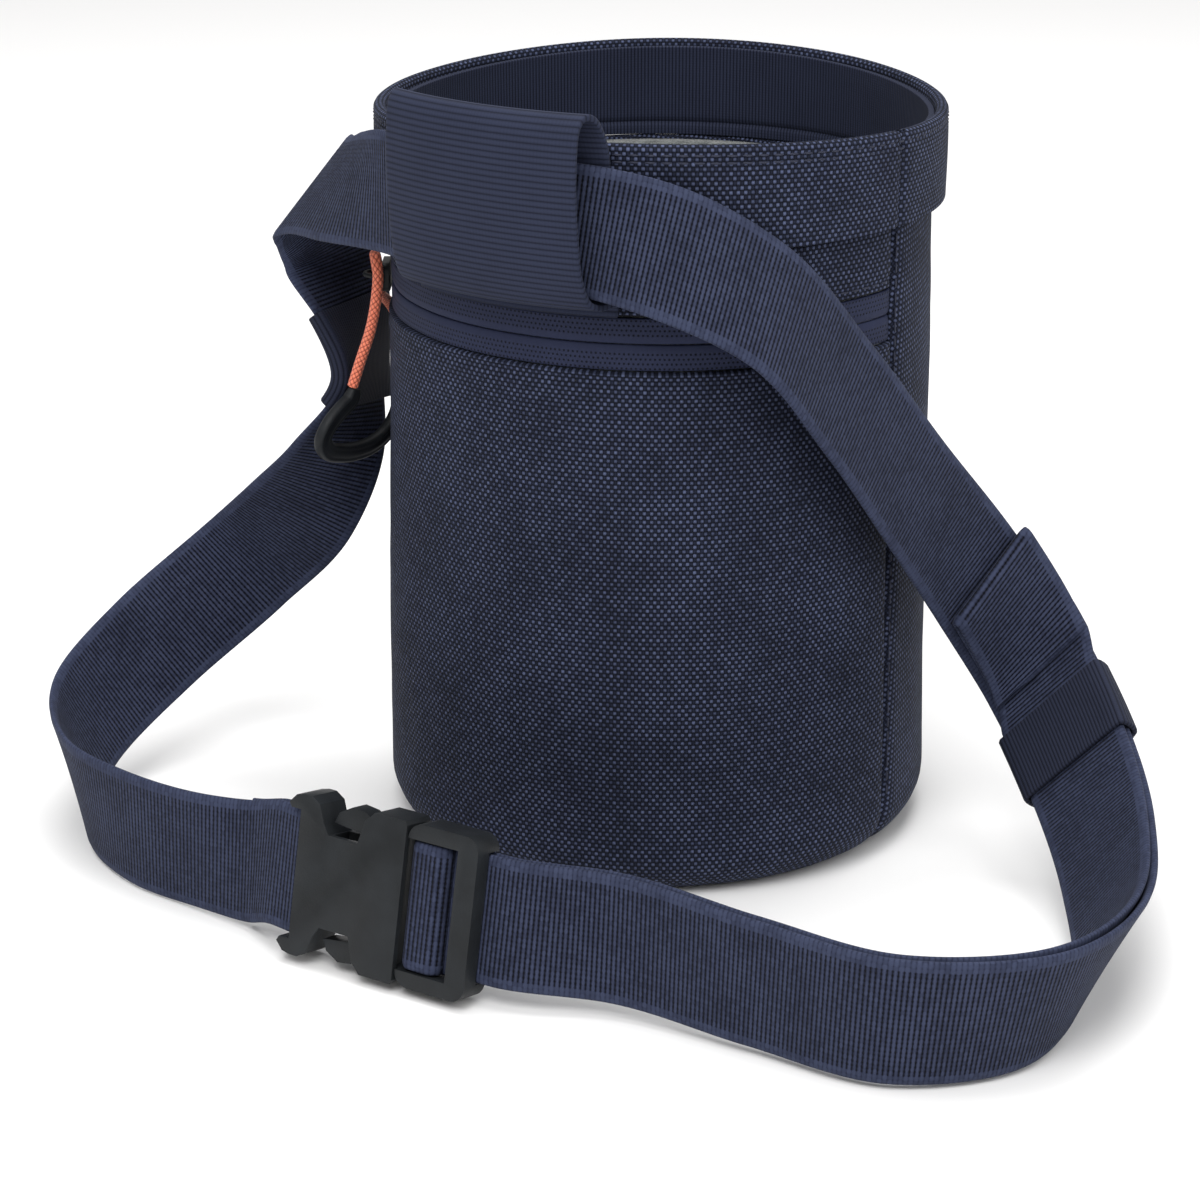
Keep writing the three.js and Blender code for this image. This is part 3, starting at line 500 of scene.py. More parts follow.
class Shader:
    """The nodes of one material, added one at a time."""

    def __init__(self, name: str, roughness: float, specular: float = 0.35) -> None:
        """A new material with this name, roughness and shine."""
        self.material = bpy.data.materials.new(name)
        self.material.use_nodes = True
        self.tree = self.material.node_tree
        self.surface = self.tree.nodes["Principled BSDF"]
        self.surface.inputs["Roughness"].default_value = roughness
        self.surface.inputs["Specular IOR Level"].default_value = specular

    def node(self, kind: str, **settings: object) -> bpy.types.Node:
        """A new node with these settings."""
        node = self.tree.nodes.new(kind)
        for name, value in settings.items():
            setattr(node, name, value)
        return node

    def feed(self, socket: bpy.types.NodeSocket, value: object) -> None:
        """Links a socket to another one, or sets its constant."""
        if isinstance(value, bpy.types.NodeSocket):
            self.tree.links.new(value, socket)
        else:
            socket.default_value = value

    def math(self, operation: str, *values: object) -> bpy.types.NodeSocket:
        """The result of one calculation."""
        node = self.node("ShaderNodeMath", operation=operation)
        for socket, value in zip(node.inputs, values):
            self.feed(socket, value)
        return node.outputs[0]

    def wave(self, value: object) -> bpy.types.NodeSocket:
        """0 at whole numbers and 1 half way between them, along a sine."""
        return self.math("ABSOLUTE", self.math("SINE", self.math("MULTIPLY", value, math.pi)))

    def lengths(self, across: float, along: float, turn: float = 0.0) -> tuple[object, object]:
        """The cloth's two coordinates, counted in steps.

        Args:
            across: length of a step of the first coordinate.
            along: length of a step of the second one.
            turn: how far the steps are turned on the cloth, in degrees.

        Returns:
            Both coordinates.
        """
        place = self.node("ShaderNodeUVMap", uv_map=UV_NAME)
        turned = self.node("ShaderNodeMapping", vector_type="POINT")
        self.feed(turned.inputs["Vector"], place.outputs[0])
        turned.inputs["Rotation"].default_value = (0.0, 0.0, math.radians(turn))
        parts = self.node("ShaderNodeSeparateXYZ")
        self.feed(parts.inputs[0], turned.outputs[0])
        first = self.math("DIVIDE", parts.outputs[0], across)
        second = self.math("DIVIDE", parts.outputs[1], along)
        return first, second

    def body_place(self) -> bpy.types.NodeSocket:
        """The object's own coordinates."""
        return self.node("ShaderNodeTexCoord").outputs["Object"]

    def noise(self, scale: float, detail: float = 2.0, place: object = None) -> bpy.types.NodeSocket:
        """Soft noise with this many features in a metre."""
        node = self.node("ShaderNodeTexNoise")
        self.feed(node.inputs["Vector"], self.body_place() if place is None else place)
        node.inputs["Scale"].default_value = scale
        node.inputs["Detail"].default_value = detail
        return node.outputs["Fac"]

    def cell_value(self, first: object, second: object) -> bpy.types.NodeSocket:
        """A value of its own for each whole step of two coordinates.

        Args:
            first: the first coordinate.
            second: the second coordinate.

        Returns:
            The value, from 0 to 1.
        """
        join = self.node("ShaderNodeCombineXYZ")
        self.feed(join.inputs[0], self.math("FLOOR", first))
        self.feed(join.inputs[1], self.math("FLOOR", second))
        cells = self.node("ShaderNodeTexWhiteNoise", noise_dimensions="2D")
        self.feed(cells.inputs["Vector"], join.outputs[0])
        return cells.outputs["Value"]

    def colour(self, value: object, *stops: tuple[float, tuple[int, int, int]]) -> None:
        """Feeds the base colour from a value.

        Args:
            value: the value, from 0 to 1.
            stops: places of the value, and the screen colour at each.
        """
        ramp = self.node("ShaderNodeValToRGB")
        elements = ramp.color_ramp.elements
        while len(elements) < len(stops):
            elements.new(0.5)
        for element, (place, tone) in zip(elements, stops):
            element.position = place
            element.color = (*linear(*tone), 1.0)
        self.feed(ramp.inputs[0], value)
        self.feed(self.surface.inputs["Base Color"], ramp.outputs[0])

    def bump(self, height: object, depth: float, strength: float = 1.0) -> None:
        """Feeds the surface's normal from a height between 0 and 1."""
        node = self.node("ShaderNodeBump")
        node.inputs["Strength"].default_value = strength
        node.inputs["Distance"].default_value = depth
        self.feed(node.inputs["Height"], height)
        self.feed(self.surface.inputs["Normal"], node.outputs[0])

    def sheen(self, weight: float, roughness: float = 0.5) -> None:
        """The faint glow of loose fibres."""
        self.surface.inputs["Sheen Weight"].default_value = weight
        self.surface.inputs["Sheen Roughness"].default_value = roughness


@dataclass(frozen=True)
class BasketCloth:
    """Coarse cloth: staggered bright dashes of thick thread over darker threads, with small dark holes."""

    name: str
    weave: Weave
    dash: float = 0.72 * MM
    row: float = 0.87 * MM
    dark: tuple[int, int, int] = (7, 8, 15)
    middle: tuple[int, int, int] = (33, 38, 56)
    bright: tuple[int, int, int] = (82, 90, 118)
    depth: float = 0.25 * MM

    def material(self) -> bpy.types.Material:
        """The cloth's material."""
        shader = Shader(self.name, roughness=0.8, specular=0.1)
        first, second = shader.lengths(self.dash, self.row, self.weave.value)
        cells = shader.math("ADD", shader.math("FLOOR", first), shader.math("FLOOR", second))
        under = shader.math("FLOORED_MODULO", cells, 2.0)
        long_way, short_way = shader.wave(first), shader.wave(second)
        tips = shader.math("MULTIPLY_ADD", long_way, 0.4, 0.6)
        dash = shader.math("MULTIPLY", shader.math("POWER", short_way, 0.6), tips)
        flanks = shader.math("MULTIPLY_ADD", short_way, 0.25, 0.1)
        cross = shader.math("MULTIPLY", shader.math("POWER", long_way, 0.8), flanks)
        change = shader.math("MULTIPLY", under, shader.math("SUBTRACT", cross, dash))
        height = shader.math("ADD", dash, change)
        thread = shader.math("MULTIPLY_ADD", shader.cell_value(first, second), 0.35, 0.7)
        wear = shader.math("MULTIPLY_ADD", shader.noise(60.0, 4.0), 0.7, 0.6)
        tone = shader.math("MULTIPLY", shader.math("MULTIPLY", height, thread), wear)
        shader.colour(tone, (0.03, self.dark), (0.4, self.middle), (0.95, self.bright))
        shader.bump(height, self.depth)
        shader.sheen(0.02)
        return shader.material


@dataclass(frozen=True)
class RibbedTape:
    """Smooth tape with fine ribs across its length or along it."""

    name: str
    pitch: float
    along: bool
    dark: tuple[int, int, int] = (14, 16, 27)
    bright: tuple[int, int, int] = (44, 49, 68)
    depth: float = 0.14 * MM

    def material(self) -> bpy.types.Material:
        """The tape's material."""
        shader = Shader(self.name, roughness=0.75, specular=0.1)
        first, second = shader.lengths(self.pitch, self.pitch)
        counted, other = (second, first) if self.along else (first, second)
        rib = shader.math("POWER", shader.wave(counted), 0.7)
        strand = shader.math("MULTIPLY_ADD", shader.wave(shader.math("MULTIPLY", other, 1.6)), 0.18, 0.82)
        height = shader.math("MULTIPLY", rib, strand)
        wear = shader.math("MULTIPLY_ADD", shader.noise(90.0, 3.0), 0.5, 0.74)
        tone = shader.math("MULTIPLY", height, wear)
        shader.colour(tone, (0.1, self.dark), (0.9, self.bright))
        shader.bump(height, self.depth)
        shader.sheen(0.02)
        return shader.material


@dataclass(frozen=True)
class BeltWebbing:
    """Webbing with ribs across it, rows of small holes between them, and smooth selvedges."""

    name: str
    half_width: float
    pitch: float = 0.95 * MM
    selvedge: float = 2.0 * MM
    dark: tuple[int, int, int] = (7, 8, 16)
    middle: tuple[int, int, int] = (32, 36, 53)
    bright: tuple[int, int, int] = (56, 62, 84)
    depth: float = 0.2 * MM

    def material(self) -> bpy.types.Material:
        """The webbing's material."""
        shader = Shader(self.name, roughness=0.78, specular=0.1)
        along, across = shader.lengths(self.pitch, self.pitch)
        rib = shader.math("POWER", shader.wave(along), 0.55)
        thread = shader.wave(across)
        groove = shader.math("SUBTRACT", 1.0, rib)
        hole = shader.math("MULTIPLY", groove, shader.math("SUBTRACT", 1.0, thread))
        ribbed = (self.half_width - self.selvedge) / self.pitch
        edge = shader.math("SUBTRACT", ribbed, shader.math("ABSOLUTE", across))
        inside = shader.math("MULTIPLY_ADD", edge, 2.0, 0.5)
        inside = shader.math("MINIMUM", shader.math("MAXIMUM", inside, 0.25), 1.0)
        relief = shader.math("SUBTRACT", 1.0, shader.math("MULTIPLY", inside, groove))
        sunk = shader.math("MULTIPLY", shader.math("MULTIPLY", hole, inside), 0.9)
        height = shader.math("SUBTRACT", relief, sunk)
        wear = shader.math("MULTIPLY_ADD", shader.noise(110.0, 4.0), 0.5, 0.74)
        strand = shader.math("MULTIPLY_ADD", shader.cell_value(along, across), 0.22, 0.8)
        tone = shader.math("MULTIPLY", shader.math("MULTIPLY", height, wear), strand)
        shader.colour(tone, (0.12, self.dark), (0.55, self.middle), (0.95, self.bright))
        shader.bump(height, self.depth)
        shader.sheen(0.02)
        return shader.material


@dataclass(frozen=True)
class ZipTape:
    """Fine smooth tape with rows of pinholes above and below the closed line."""

    name: str
    first_row: float
    pitch: float = 0.95 * MM
    rows: int = 4
    dark: tuple[int, int, int] = (14, 16, 28)
    bright: tuple[int, int, int] = (40, 45, 68)

    def material(self) -> bpy.types.Material:
        """The tape's material."""
        shader = Shader(self.name, roughness=0.7, specular=0.14)
        along, across = shader.lengths(self.pitch, self.pitch)
        row = shader.math("SUBTRACT", shader.math("ABSOLUTE", across), self.first_row / self.pitch)
        shift = shader.math("MULTIPLY", shader.math("FLOORED_MODULO", shader.math("FLOOR", row), 2.0), 0.5)
        dot_a = shader.wave(shader.math("ADD", along, shift))
        dot_b = shader.wave(row)
        hole = shader.math("MULTIPLY", dot_a, dot_b)
        hole = shader.math("MAXIMUM", shader.math("MULTIPLY_ADD", hole, 3.0, -1.9), 0.0)
        hole = shader.math("SMOOTH_MIN", hole, 1.0, 0.1)
        lowest = shader.math("GREATER_THAN", row, 0.0)
        highest = shader.math("LESS_THAN", row, float(self.rows))
        hole = shader.math("MULTIPLY", hole, shader.math("MULTIPLY", lowest, highest))
        grain = shader.noise(1500.0, 2.0)
        height = shader.math("SUBTRACT", shader.math("MULTIPLY_ADD", grain, 0.25, 0.75), hole)
        wear = shader.math("MULTIPLY_ADD", shader.noise(60.0, 3.0), 0.4, 0.7)
        shader.colour(shader.math("MULTIPLY", height, wear), (0.05, self.dark), (0.85, self.bright))
        shader.bump(height, 0.12 * MM)
        return shader.material


@dataclass(frozen=True)
class Fleece:
    """Grey pile with small curled tufts."""

    name: str
    dark: tuple[int, int, int] = (48, 52, 52)
    middle: tuple[int, int, int] = (88, 92, 91)
    bright: tuple[int, int, int] = (122, 126, 124)

    def material(self) -> bpy.types.Material:
        """The fleece's material."""
        shader = Shader(self.name, roughness=0.95, specular=0.1)
        tufts = shader.noise(420.0, 6.0)
        curls = shader.noise(1700.0, 4.0)
        height = shader.math("MULTIPLY_ADD", tufts, 0.65, shader.math("MULTIPLY", curls, 0.35))
        shader.colour(height, (0.33, self.dark), (0.5, self.middle), (0.68, self.bright))
        shader.bump(height, 1.6 * MM)
        shader.sheen(0.35, 0.6)
        return shader.material


@dataclass(frozen=True)
class SatinPlastic:
    """Moulded plastic with a fine grain and rubbed edges."""

    name: str
    base: tuple[int, int, int]
    worn: tuple[int, int, int]
    roughness: float = 0.42

    def material(self) -> bpy.types.Material:
        """The plastic's material."""
        shader = Shader(self.name, roughness=self.roughness, specular=0.22)
        grain = shader.noise(2600.0, 2.0)
        rubbed = shader.noise(130.0, 5.0)
        shader.colour(rubbed, (0.35, self.base), (0.75, self.worn))
        shader.bump(grain, 0.035 * MM)
        spread = shader.math("MULTIPLY_ADD", rubbed, 0.2, self.roughness - 0.08)
        shader.feed(shader.surface.inputs["Roughness"], spread)
        return shader.material


@dataclass(frozen=True)
class BraidedCord:
    """Round cord of strands that cross each other at a slant."""

    name: str
    girth: float
    strands: int = 6
    dark: tuple[int, int, int] = (150, 58, 40)
    bright: tuple[int, int, int] = (247, 136, 104)

    def material(self) -> bpy.types.Material:
        """The cord's material."""
        shader = Shader(self.name, roughness=0.6, specular=0.35)
        step = self.girth / self.strands
        along, round_ = shader.lengths(step * 1.1, step)
        left = shader.wave(shader.math("ADD", along, round_))
        right = shader.wave(shader.math("SUBTRACT", along, round_))
        height = shader.math("POWER", shader.math("MULTIPLY", left, right), 0.5)
        shader.colour(height, (0.1, self.dark), (0.75, self.bright))
        shader.bump(height, 0.2 * MM)
        shader.sheen(0.15)
        return shader.material


@dataclass(frozen=True)
class Thread:
    """Sewing thread."""

    name: str
    tone: tuple[int, int, int]

    def material(self) -> bpy.types.Material:
        """The thread's material."""
        shader = Shader(self.name, roughness=0.6, specular=0.35)
        shader.surface.inputs["Base Color"].default_value = (*linear(*self.tone), 1.0)
        return shader.material


@dataclass
class Finishes:
    """Every material of the bag, made once."""

    cloth: bpy.types.Material
    slanted_cloth: bpy.types.Material
    collar: bpy.types.Material
    keeper: bpy.types.Material
    loop: bpy.types.Material
    webbing: bpy.types.Material
    zip_tape: bpy.types.Material
    fleece: bpy.types.Material
    plastic: bpy.types.Material
    bow: bpy.types.Material
    cord: bpy.types.Material
    dark_thread: bpy.types.Material
    blue_thread: bpy.types.Material

    @classmethod
    def made(cls, webbing_half: float, cord_girth: float) -> "Finishes":
        """All finishes.

        Args:
            webbing_half: half the belt's width.
            cord_girth: the length round the cord.

        Returns:
            The finishes.
        """
        return cls(
            cloth=BasketCloth("basket_cloth", Weave.STRAIGHT).material(),
            slanted_cloth=BasketCloth("slanted_cloth", Weave.DIAGONAL).material(),
            collar=RibbedTape("collar_ribs", 0.8 * MM, along=False).material(),
            keeper=RibbedTape("keeper_ribs", 0.78 * MM, along=False, bright=(38, 42, 58)).material(),
            loop=RibbedTape(
                "loop_ribs", 1.16 * MM, along=True, dark=(24, 27, 40), depth=0.06 * MM
            ).material(),
            webbing=BeltWebbing("belt_webbing", webbing_half).material(),
            zip_tape=ZipTape("zip_tape", 1.4 * MM).material(),
            fleece=Fleece("fleece").material(),
            plastic=SatinPlastic("slate_plastic", (27, 29, 31), (36, 39, 42)).material(),
            bow=SatinPlastic("bow_plastic", (22, 24, 27), (34, 37, 41), 0.5).material(),
            cord=BraidedCord("braided_cord", cord_girth).material(),
            dark_thread=Thread("dark_thread", (6, 7, 12)).material(),
            blue_thread=Thread("blue_thread", (34, 38, 56)).material(),
        )


# Stitches


@dataclass(frozen=True)
class StitchRow:
    """A row of stitches along a line on the cloth.

    Args:
        name: the row's name.
        pitch: distance from one stitch to the next.
        length: length of a stitch.
        radius: radius of the thread.
    """

    name: str
    pitch: float
    length: float
    radius: float

    def build(self, line: np.ndarray, sunk: float = 0.0) -> bpy.types.Object:
        """The row as one mesh of small rounded capsules.

        Args:
            line: points on the cloth's face, close together.
            sunk: how far the stitches' ends dip, towards the line's inner side.

        Returns:
            The new object.
        """
        lengths = running_length(line)
        count = max(1, int((lengths[-1] - self.length) / self.pitch) + 1)
        start = (lengths[-1] - (count - 1) * self.pitch) / 2

        def at(distance: float) -> np.ndarray:
            """The line's point at a distance along it."""
            return np.array([np.interp(distance, lengths, line[:, k]) for k in range(3)])

        rings = ((-1.0, 0.25), (-0.8, 0.8), (0.0, 1.0), (0.8, 0.8), (1.0, 0.25))
        sides = 6
        points, faces = [], []
        for index in range(count):
            middle = start + index * self.pitch
            ahead = at(middle + self.length / 2) - at(middle - self.length / 2)
            ahead /= np.linalg.norm(ahead)
            side = np.cross(ahead, [0.0, 0.0, 1.0] if abs(ahead[2]) < 0.9 else [1.0, 0.0, 0.0])
            side /= np.linalg.norm(side)
            top = np.cross(side, ahead)
            base = len(points)
            for place, size in rings:
                centre = at(middle + place * self.length / 2)
                centre = centre - np.array([centre[0], centre[1], 0.0]) * (sunk * place**2)
                for k in range(sides):
                    angle = 2 * math.pi * k / sides
                    round_ = math.cos(angle) * side + math.sin(angle) * top
                    points.append(centre + self.radius * size * round_)
            for ring in range(len(rings) - 1):
                for k in range(sides):
                    low, high = base + ring * sides, base + (ring + 1) * sides
                    faces.append([low + k, low + (k + 1) % sides, high + (k + 1) % sides, high + k])
            faces.append([base + k for k in range(sides)])
            faces.append([base + (len(rings) - 1) * sides + k for k in reversed(range(sides))])
        piece = mesh_piece(self.name, np.array(points), faces)
        turn_faces_out(piece)
        shade(piece, 60.0)
        return piece


# The drum


@dataclass(frozen=True)
class DrumSizes:
    """Sizes of the bag's drum, measured on its outer faces."""

    height: float = 154.0 * MM
    radius_low: float = 57.5 * MM
    radius_high: float = 55.6 * MM
    wall: float = 1.8 * MM
    foot_round: float = 10.0 * MM
    foot_start: float = 78.0
    band_height: float = 19.5 * MM
    band_radius: float = 58.3 * MM
    band_thickness: float = 2.6 * MM
    collar_thickness: float = 1.2 * MM
    collar_height: float = 16.0 * MM
    collar_set_back: float = 1.6 * MM
    mouth_wave: float = 1.2 * MM
    mouth_wave_angle: float = 25.0
    fleece_thickness: float = 3.0 * MM
    fleece_set_back: float = 20.5 * MM
    seam_angle: float = 90.0
    seam_gap: float = 0.3 * MM
    zip_height: float = 116.0 * MM
    zip_tape_width: float = 5.2 * MM
    zip_tape_thickness: float = 1.1 * MM
    zip_set_back: float = 0.5 * MM
    zip_end_angle: float = 89.6
    base_thickness: float = 1.6 * MM
    seam_groove: float = 1.1 * MM
    seam_groove_width: float = 1.3 * MM
    rim_seam_angle: float = 87.5
    rim_seam_stitch_angle: float = 89.0
    side_stitch_angle: float = 90.9
    upper_stitch_lift: float = 1.6 * MM
    collar_fold: float = 2.6 * MM
    tuft: float = 4.2 * MM


class Drum:
    """The cloth drum: panels, base, mouth band, collar and fleece lining."""

    grain = 1.6 * MM

    def __init__(self, finishes: Finishes, sizes: DrumSizes = DrumSizes()) -> None:
        """Keeps the finishes and sizes, and works out the heights where panels meet."""
        self.finishes = finishes
        self.sizes = sizes
        self.body_top = sizes.height - sizes.band_height - sizes.seam_gap
        self.zip_low = sizes.zip_height - sizes.zip_tape_width - sizes.seam_gap
        self.zip_high = sizes.zip_height + sizes.zip_tape_width + sizes.seam_gap
        self.hem_stitch = self.zip_low - 2.0 * MM

    def build(self) -> None:
        """Makes all of the drum's pieces."""
        self.panels()
        self.base()
        self.rim_band()
        self.collar()
        self.fleece()
        self.stitches()
        LOG.info("drum made")

    def cloth_radius(self, height: float) -> float:
        """Outside radius of the cloth at a height."""
        top = self.sizes.height - self.sizes.band_height
        share = (height - self.sizes.foot_round) / (top - self.sizes.foot_round)
        return lerp(self.sizes.radius_low, self.sizes.radius_high, min(1.0, max(0.0, share)))

    def mouth_height(self, around: float) -> float:
        """Height of the mouth's edge, which rises and falls twice round the drum."""
        wave = math.cos(2 * math.radians(around - self.sizes.mouth_wave_angle))
        return self.sizes.height + self.sizes.mouth_wave * wave

    def unevenness(self, around: float, height: float) -> float:
        """How far the cloth lies off a true drum: slow swells, and a groove at each side seam.

        Args:
            around: angle from the bag's front.
            height: height over the floor.

        Returns:
            The distance, outward.
        """
        place = Vector((math.radians(around) * 1.6, height / (46.0 * MM), 3.0))
        swell = 0.5 * MM * noise.noise(place)
        ripple = 0.12 * MM * noise.noise(place * 5.0)
        to_seam = min(abs(around - side) for side in (-270, -90, 90, 270))
        arc = math.radians(to_seam) * self.sizes.radius_low
        return swell + ripple - self.sizes.seam_groove * smooth_bump(arc, self.sizes.seam_groove_width)

    def wall_rows(self, low: float, high: float, foot: bool) -> list[tuple[float, float]]:
        """Radius and height of a panel's middle surface.

        Args:
            low: height of the straight part's lower end.
            high: height of its upper end.
            foot: the rows begin with the rounded foot.

        Returns:
            The rows, from the lowest to the highest.
        """
        sizes = self.sizes
        middle = sizes.foot_round - sizes.wall / 2
        rows = []
        if foot:
            for angle in np.linspace(sizes.foot_start, 0.0, 10)[:-1]:
                turn = math.radians(angle)
                radius = sizes.radius_low - sizes.foot_round + middle * math.cos(turn)
                rows.append((radius, sizes.foot_round - middle * math.sin(turn)))
        steps = max(2, round((high - low) / self.grain))
        for height in np.linspace(low, high, steps + 1):
            rows.append((self.cloth_radius(height) - sizes.wall / 2, height))
        return rows

    def wall(
        self,
        name: str,
        span: tuple[float, float],
        rows: list[tuple[float, float]],
        thickness: float,
        shape: Callable[[float, float], float],
        edge: float = 0.45 * MM,
    ) -> bpy.types.Object:
        """A wall that follows the drum.

        Args:
            name: the new object's name.
            span: its first and last angle. All round, the last is 360 more than the first.
            rows: radius and height of its middle surface.
            thickness: the cloth's thickness.
            shape: how far the cloth lies off the true drum, from an angle and a height.
            edge: width of the rounding of its edges.

        Returns:
            The new object.
        """
        ring = abs(span[1] - span[0] - 360.0) < 1e-6
        arc = math.radians(span[1] - span[0]) * self.sizes.radius_low
        angles = np.linspace(*span, round(arc / self.grain) + 1)
        heights = running_length(np.array(rows))
        used = angles[:-1] if ring else angles
        grid = np.array([[polar(a, r + shape(a, z), z) for r, z in rows] for a in used])
        cloth = np.array([[(math.radians(a) * self.sizes.radius_low, h) for h in heights] for a in angles])
        piece = grid_piece(name, grid, cloth, ring=ring)
        thicken(piece, thickness, edge)
        return piece

    def panels(self) -> None:
        """The zipped pocket's panel, the panel above the zip, and the back."""
        sizes = self.sizes
        half_gap = math.degrees(sizes.seam_gap / 2 / sizes.radius_high)
        front = (-sizes.seam_angle + half_gap, sizes.seam_angle - half_gap)
        back = (sizes.seam_angle + half_gap, 360.0 - sizes.seam_angle - half_gap)

        def pocket_shape(around: float, height: float) -> float:
            """The pocket's cloth, with a thicker hem drawn in at its stitches."""
            sewn = smooth_bump(height - self.hem_stitch, 0.7 * MM)
            hem = 0.25 * MM if height > self.hem_stitch - 2.2 * MM else 0.0
            return self.unevenness(around, height) + hem - 0.4 * MM * sewn

        def upper_shape(around: float, height: float) -> float:
            """The cloth above the zip, drawn in at its stitches."""
            sewn = smooth_bump(height - self.zip_high - sizes.upper_stitch_lift, 0.6 * MM)
            return self.unevenness(around, height) - 0.3 * MM * sewn

        pocket_rows = self.wall_rows(sizes.foot_round, self.zip_low, foot=True)
        pocket = self.wall("pocket_cloth", front, pocket_rows, sizes.wall, pocket_shape)
        finished(pocket, self.finishes.cloth, Slot.CLOTH, "pocket_panel")
        upper_rows = self.wall_rows(self.zip_high, self.body_top, foot=False)
        upper = self.wall("upper_cloth", front, upper_rows, sizes.wall, upper_shape)
        finished(upper, self.finishes.cloth, Slot.CLOTH, "upper_panel")
        back_rows = self.wall_rows(sizes.foot_round, self.body_top, foot=True)
        rear = self.wall("back_cloth", back, back_rows, sizes.wall, self.unevenness)
        finished(rear, self.finishes.slanted_cloth, Slot.CLOTH, "back_panel")

    def base(self) -> None:
        """The round base, a disc with a softened edge."""
        sizes = self.sizes
        reach = (sizes.foot_round - sizes.wall) * math.cos(math.radians(sizes.foot_start))
        radius = sizes.radius_low - sizes.foot_round + reach - sizes.seam_gap
        thickness = sizes.base_thickness
        bpy.ops.mesh.primitive_cylinder_add(
            vertices=96, radius=radius, depth=thickness, location=(0.0, 0.0, thickness / 2)
        )
        piece = bpy.context.object
        piece.name = "base_cloth"
        bpy.ops.object.transform_apply(location=True)
        apply_modifier(piece, "BEVEL", width=0.5 * MM, segments=3, limit_method="ANGLE")
        piece.data.uv_layers[0].name = UV_NAME
        for loop in piece.data.loops:
            place = piece.data.vertices[loop.vertex_index].co
            piece.data.uv_layers[0].data[loop.index].uv = (place.x, place.y)
        shade(piece, 40.0)
        finished(piece, self.finishes.cloth, Slot.CLOTH, "base_panel")

    def rim_band(self) -> None:
        """The folded band round the mouth: a closed section carried round as the mouth rises and falls."""
        sizes = self.sizes
        half = sizes.band_thickness / 2
        middle = sizes.band_radius - half
        low = sizes.height - sizes.band_height
        stitch = sizes.height - 2.6 * MM
        section: list[tuple[float, float]] = []
        for height in np.linspace(low, sizes.height - half, 16):
            dent = 0.25 * MM * smooth_bump(height - stitch, 0.9 * MM)
            section.append((middle + half - dent, height))
        for angle in np.linspace(15.0, 165.0, 7):
            turn = math.radians(angle)
            section.append((middle + half * math.cos(turn), sizes.height - half + half * math.sin(turn)))
        for height in np.linspace(sizes.height - half, low, 10):
            section.append((middle - half, height))
        girth = running_length(np.array(section + section[:1]))
        angles = np.linspace(0.0, 360.0, 260)

        def place(around: float, radius: float, height: float) -> np.ndarray:
            """A point of the section, carried to an angle, with the mouth's rise and the seam's groove.

            Args:
                around: the angle.
                radius: the point's distance from the axis.
                height: its height on a level mouth.

            Returns:
                The point.
            """
            share = (height - low) / sizes.band_height
            lifted = height + share * (self.mouth_height(around) - sizes.height)
            off_seam = math.radians(around - sizes.rim_seam_angle) * sizes.band_radius
            seam = 0.7 * MM * smooth_bump(off_seam, 0.9 * MM)
            swell = 0.3 * MM * noise.noise(Vector((math.radians(around) * 2.2, height / (20.0 * MM), 9.0)))
            swell *= math.sin(math.radians(around) / 2)
            outside = 1.0 if radius > middle else -0.6
            return polar(around, radius + swell - seam * outside, lifted)

        grid = np.array([[place(a, r, z) for r, z in section] for a in angles[:-1]])
        cloth = np.array([[(math.radians(a) * sizes.band_radius, g) for g in girth] for a in angles])
        piece = grid_piece("rim_cloth", grid, cloth, ring=True, tube=True)
        shade(piece, 50.0)
        finished(piece, self.finishes.cloth, Slot.CLOTH, "rim_band")

    def collar(self) -> None:
        """The ribbed tape inside the mouth band."""
        sizes = self.sizes
        middle = sizes.band_radius - sizes.band_thickness - sizes.seam_gap - sizes.collar_thickness / 2
        top = sizes.height - sizes.collar_set_back
        low = self.body_top + 0.2 * MM
        fold = low + sizes.collar_fold
        rows = [(middle, height) for height in np.linspace(low, top, 38)]

        def shape(around: float, height: float) -> float:
            """Slow swells that fade at the top, and a crease above the lining."""
            swell = 0.35 * MM * noise.noise(Vector((math.radians(around) * 2.0, height / (30.0 * MM), 5.0)))
            crease = 0.55 * MM * smooth_bump(height - fold, 0.5 * MM)
            return swell * min(1.0, (top - height) / (3.0 * MM)) + crease

        piece = self.wall("collar_tape", (0.0, 360.0), rows, sizes.collar_thickness, shape, 0.3 * MM)
        for vertex in piece.data.vertices:
            around = math.degrees(math.atan2(vertex.co.x, -vertex.co.y))
            share = max(0.0, (vertex.co.z - low) / sizes.collar_height)
            vertex.co.z += share * (self.mouth_height(around) - sizes.height)
        finished(piece, self.finishes.collar, Slot.TAPE, "collar")

    def fleece(self) -> None:
        """The lining, a cup with an uneven pile."""
        sizes = self.sizes
        top = sizes.height - sizes.fleece_set_back
        foot = sizes.base_thickness + sizes.seam_gap
        foot_radius = sizes.radius_low - sizes.foot_round
        foot_height = sizes.foot_round + sizes.seam_gap

        def outer(height: float) -> float:
            """The lining's outside radius at a height."""
            return self.cloth_radius(height) - sizes.wall - sizes.seam_gap

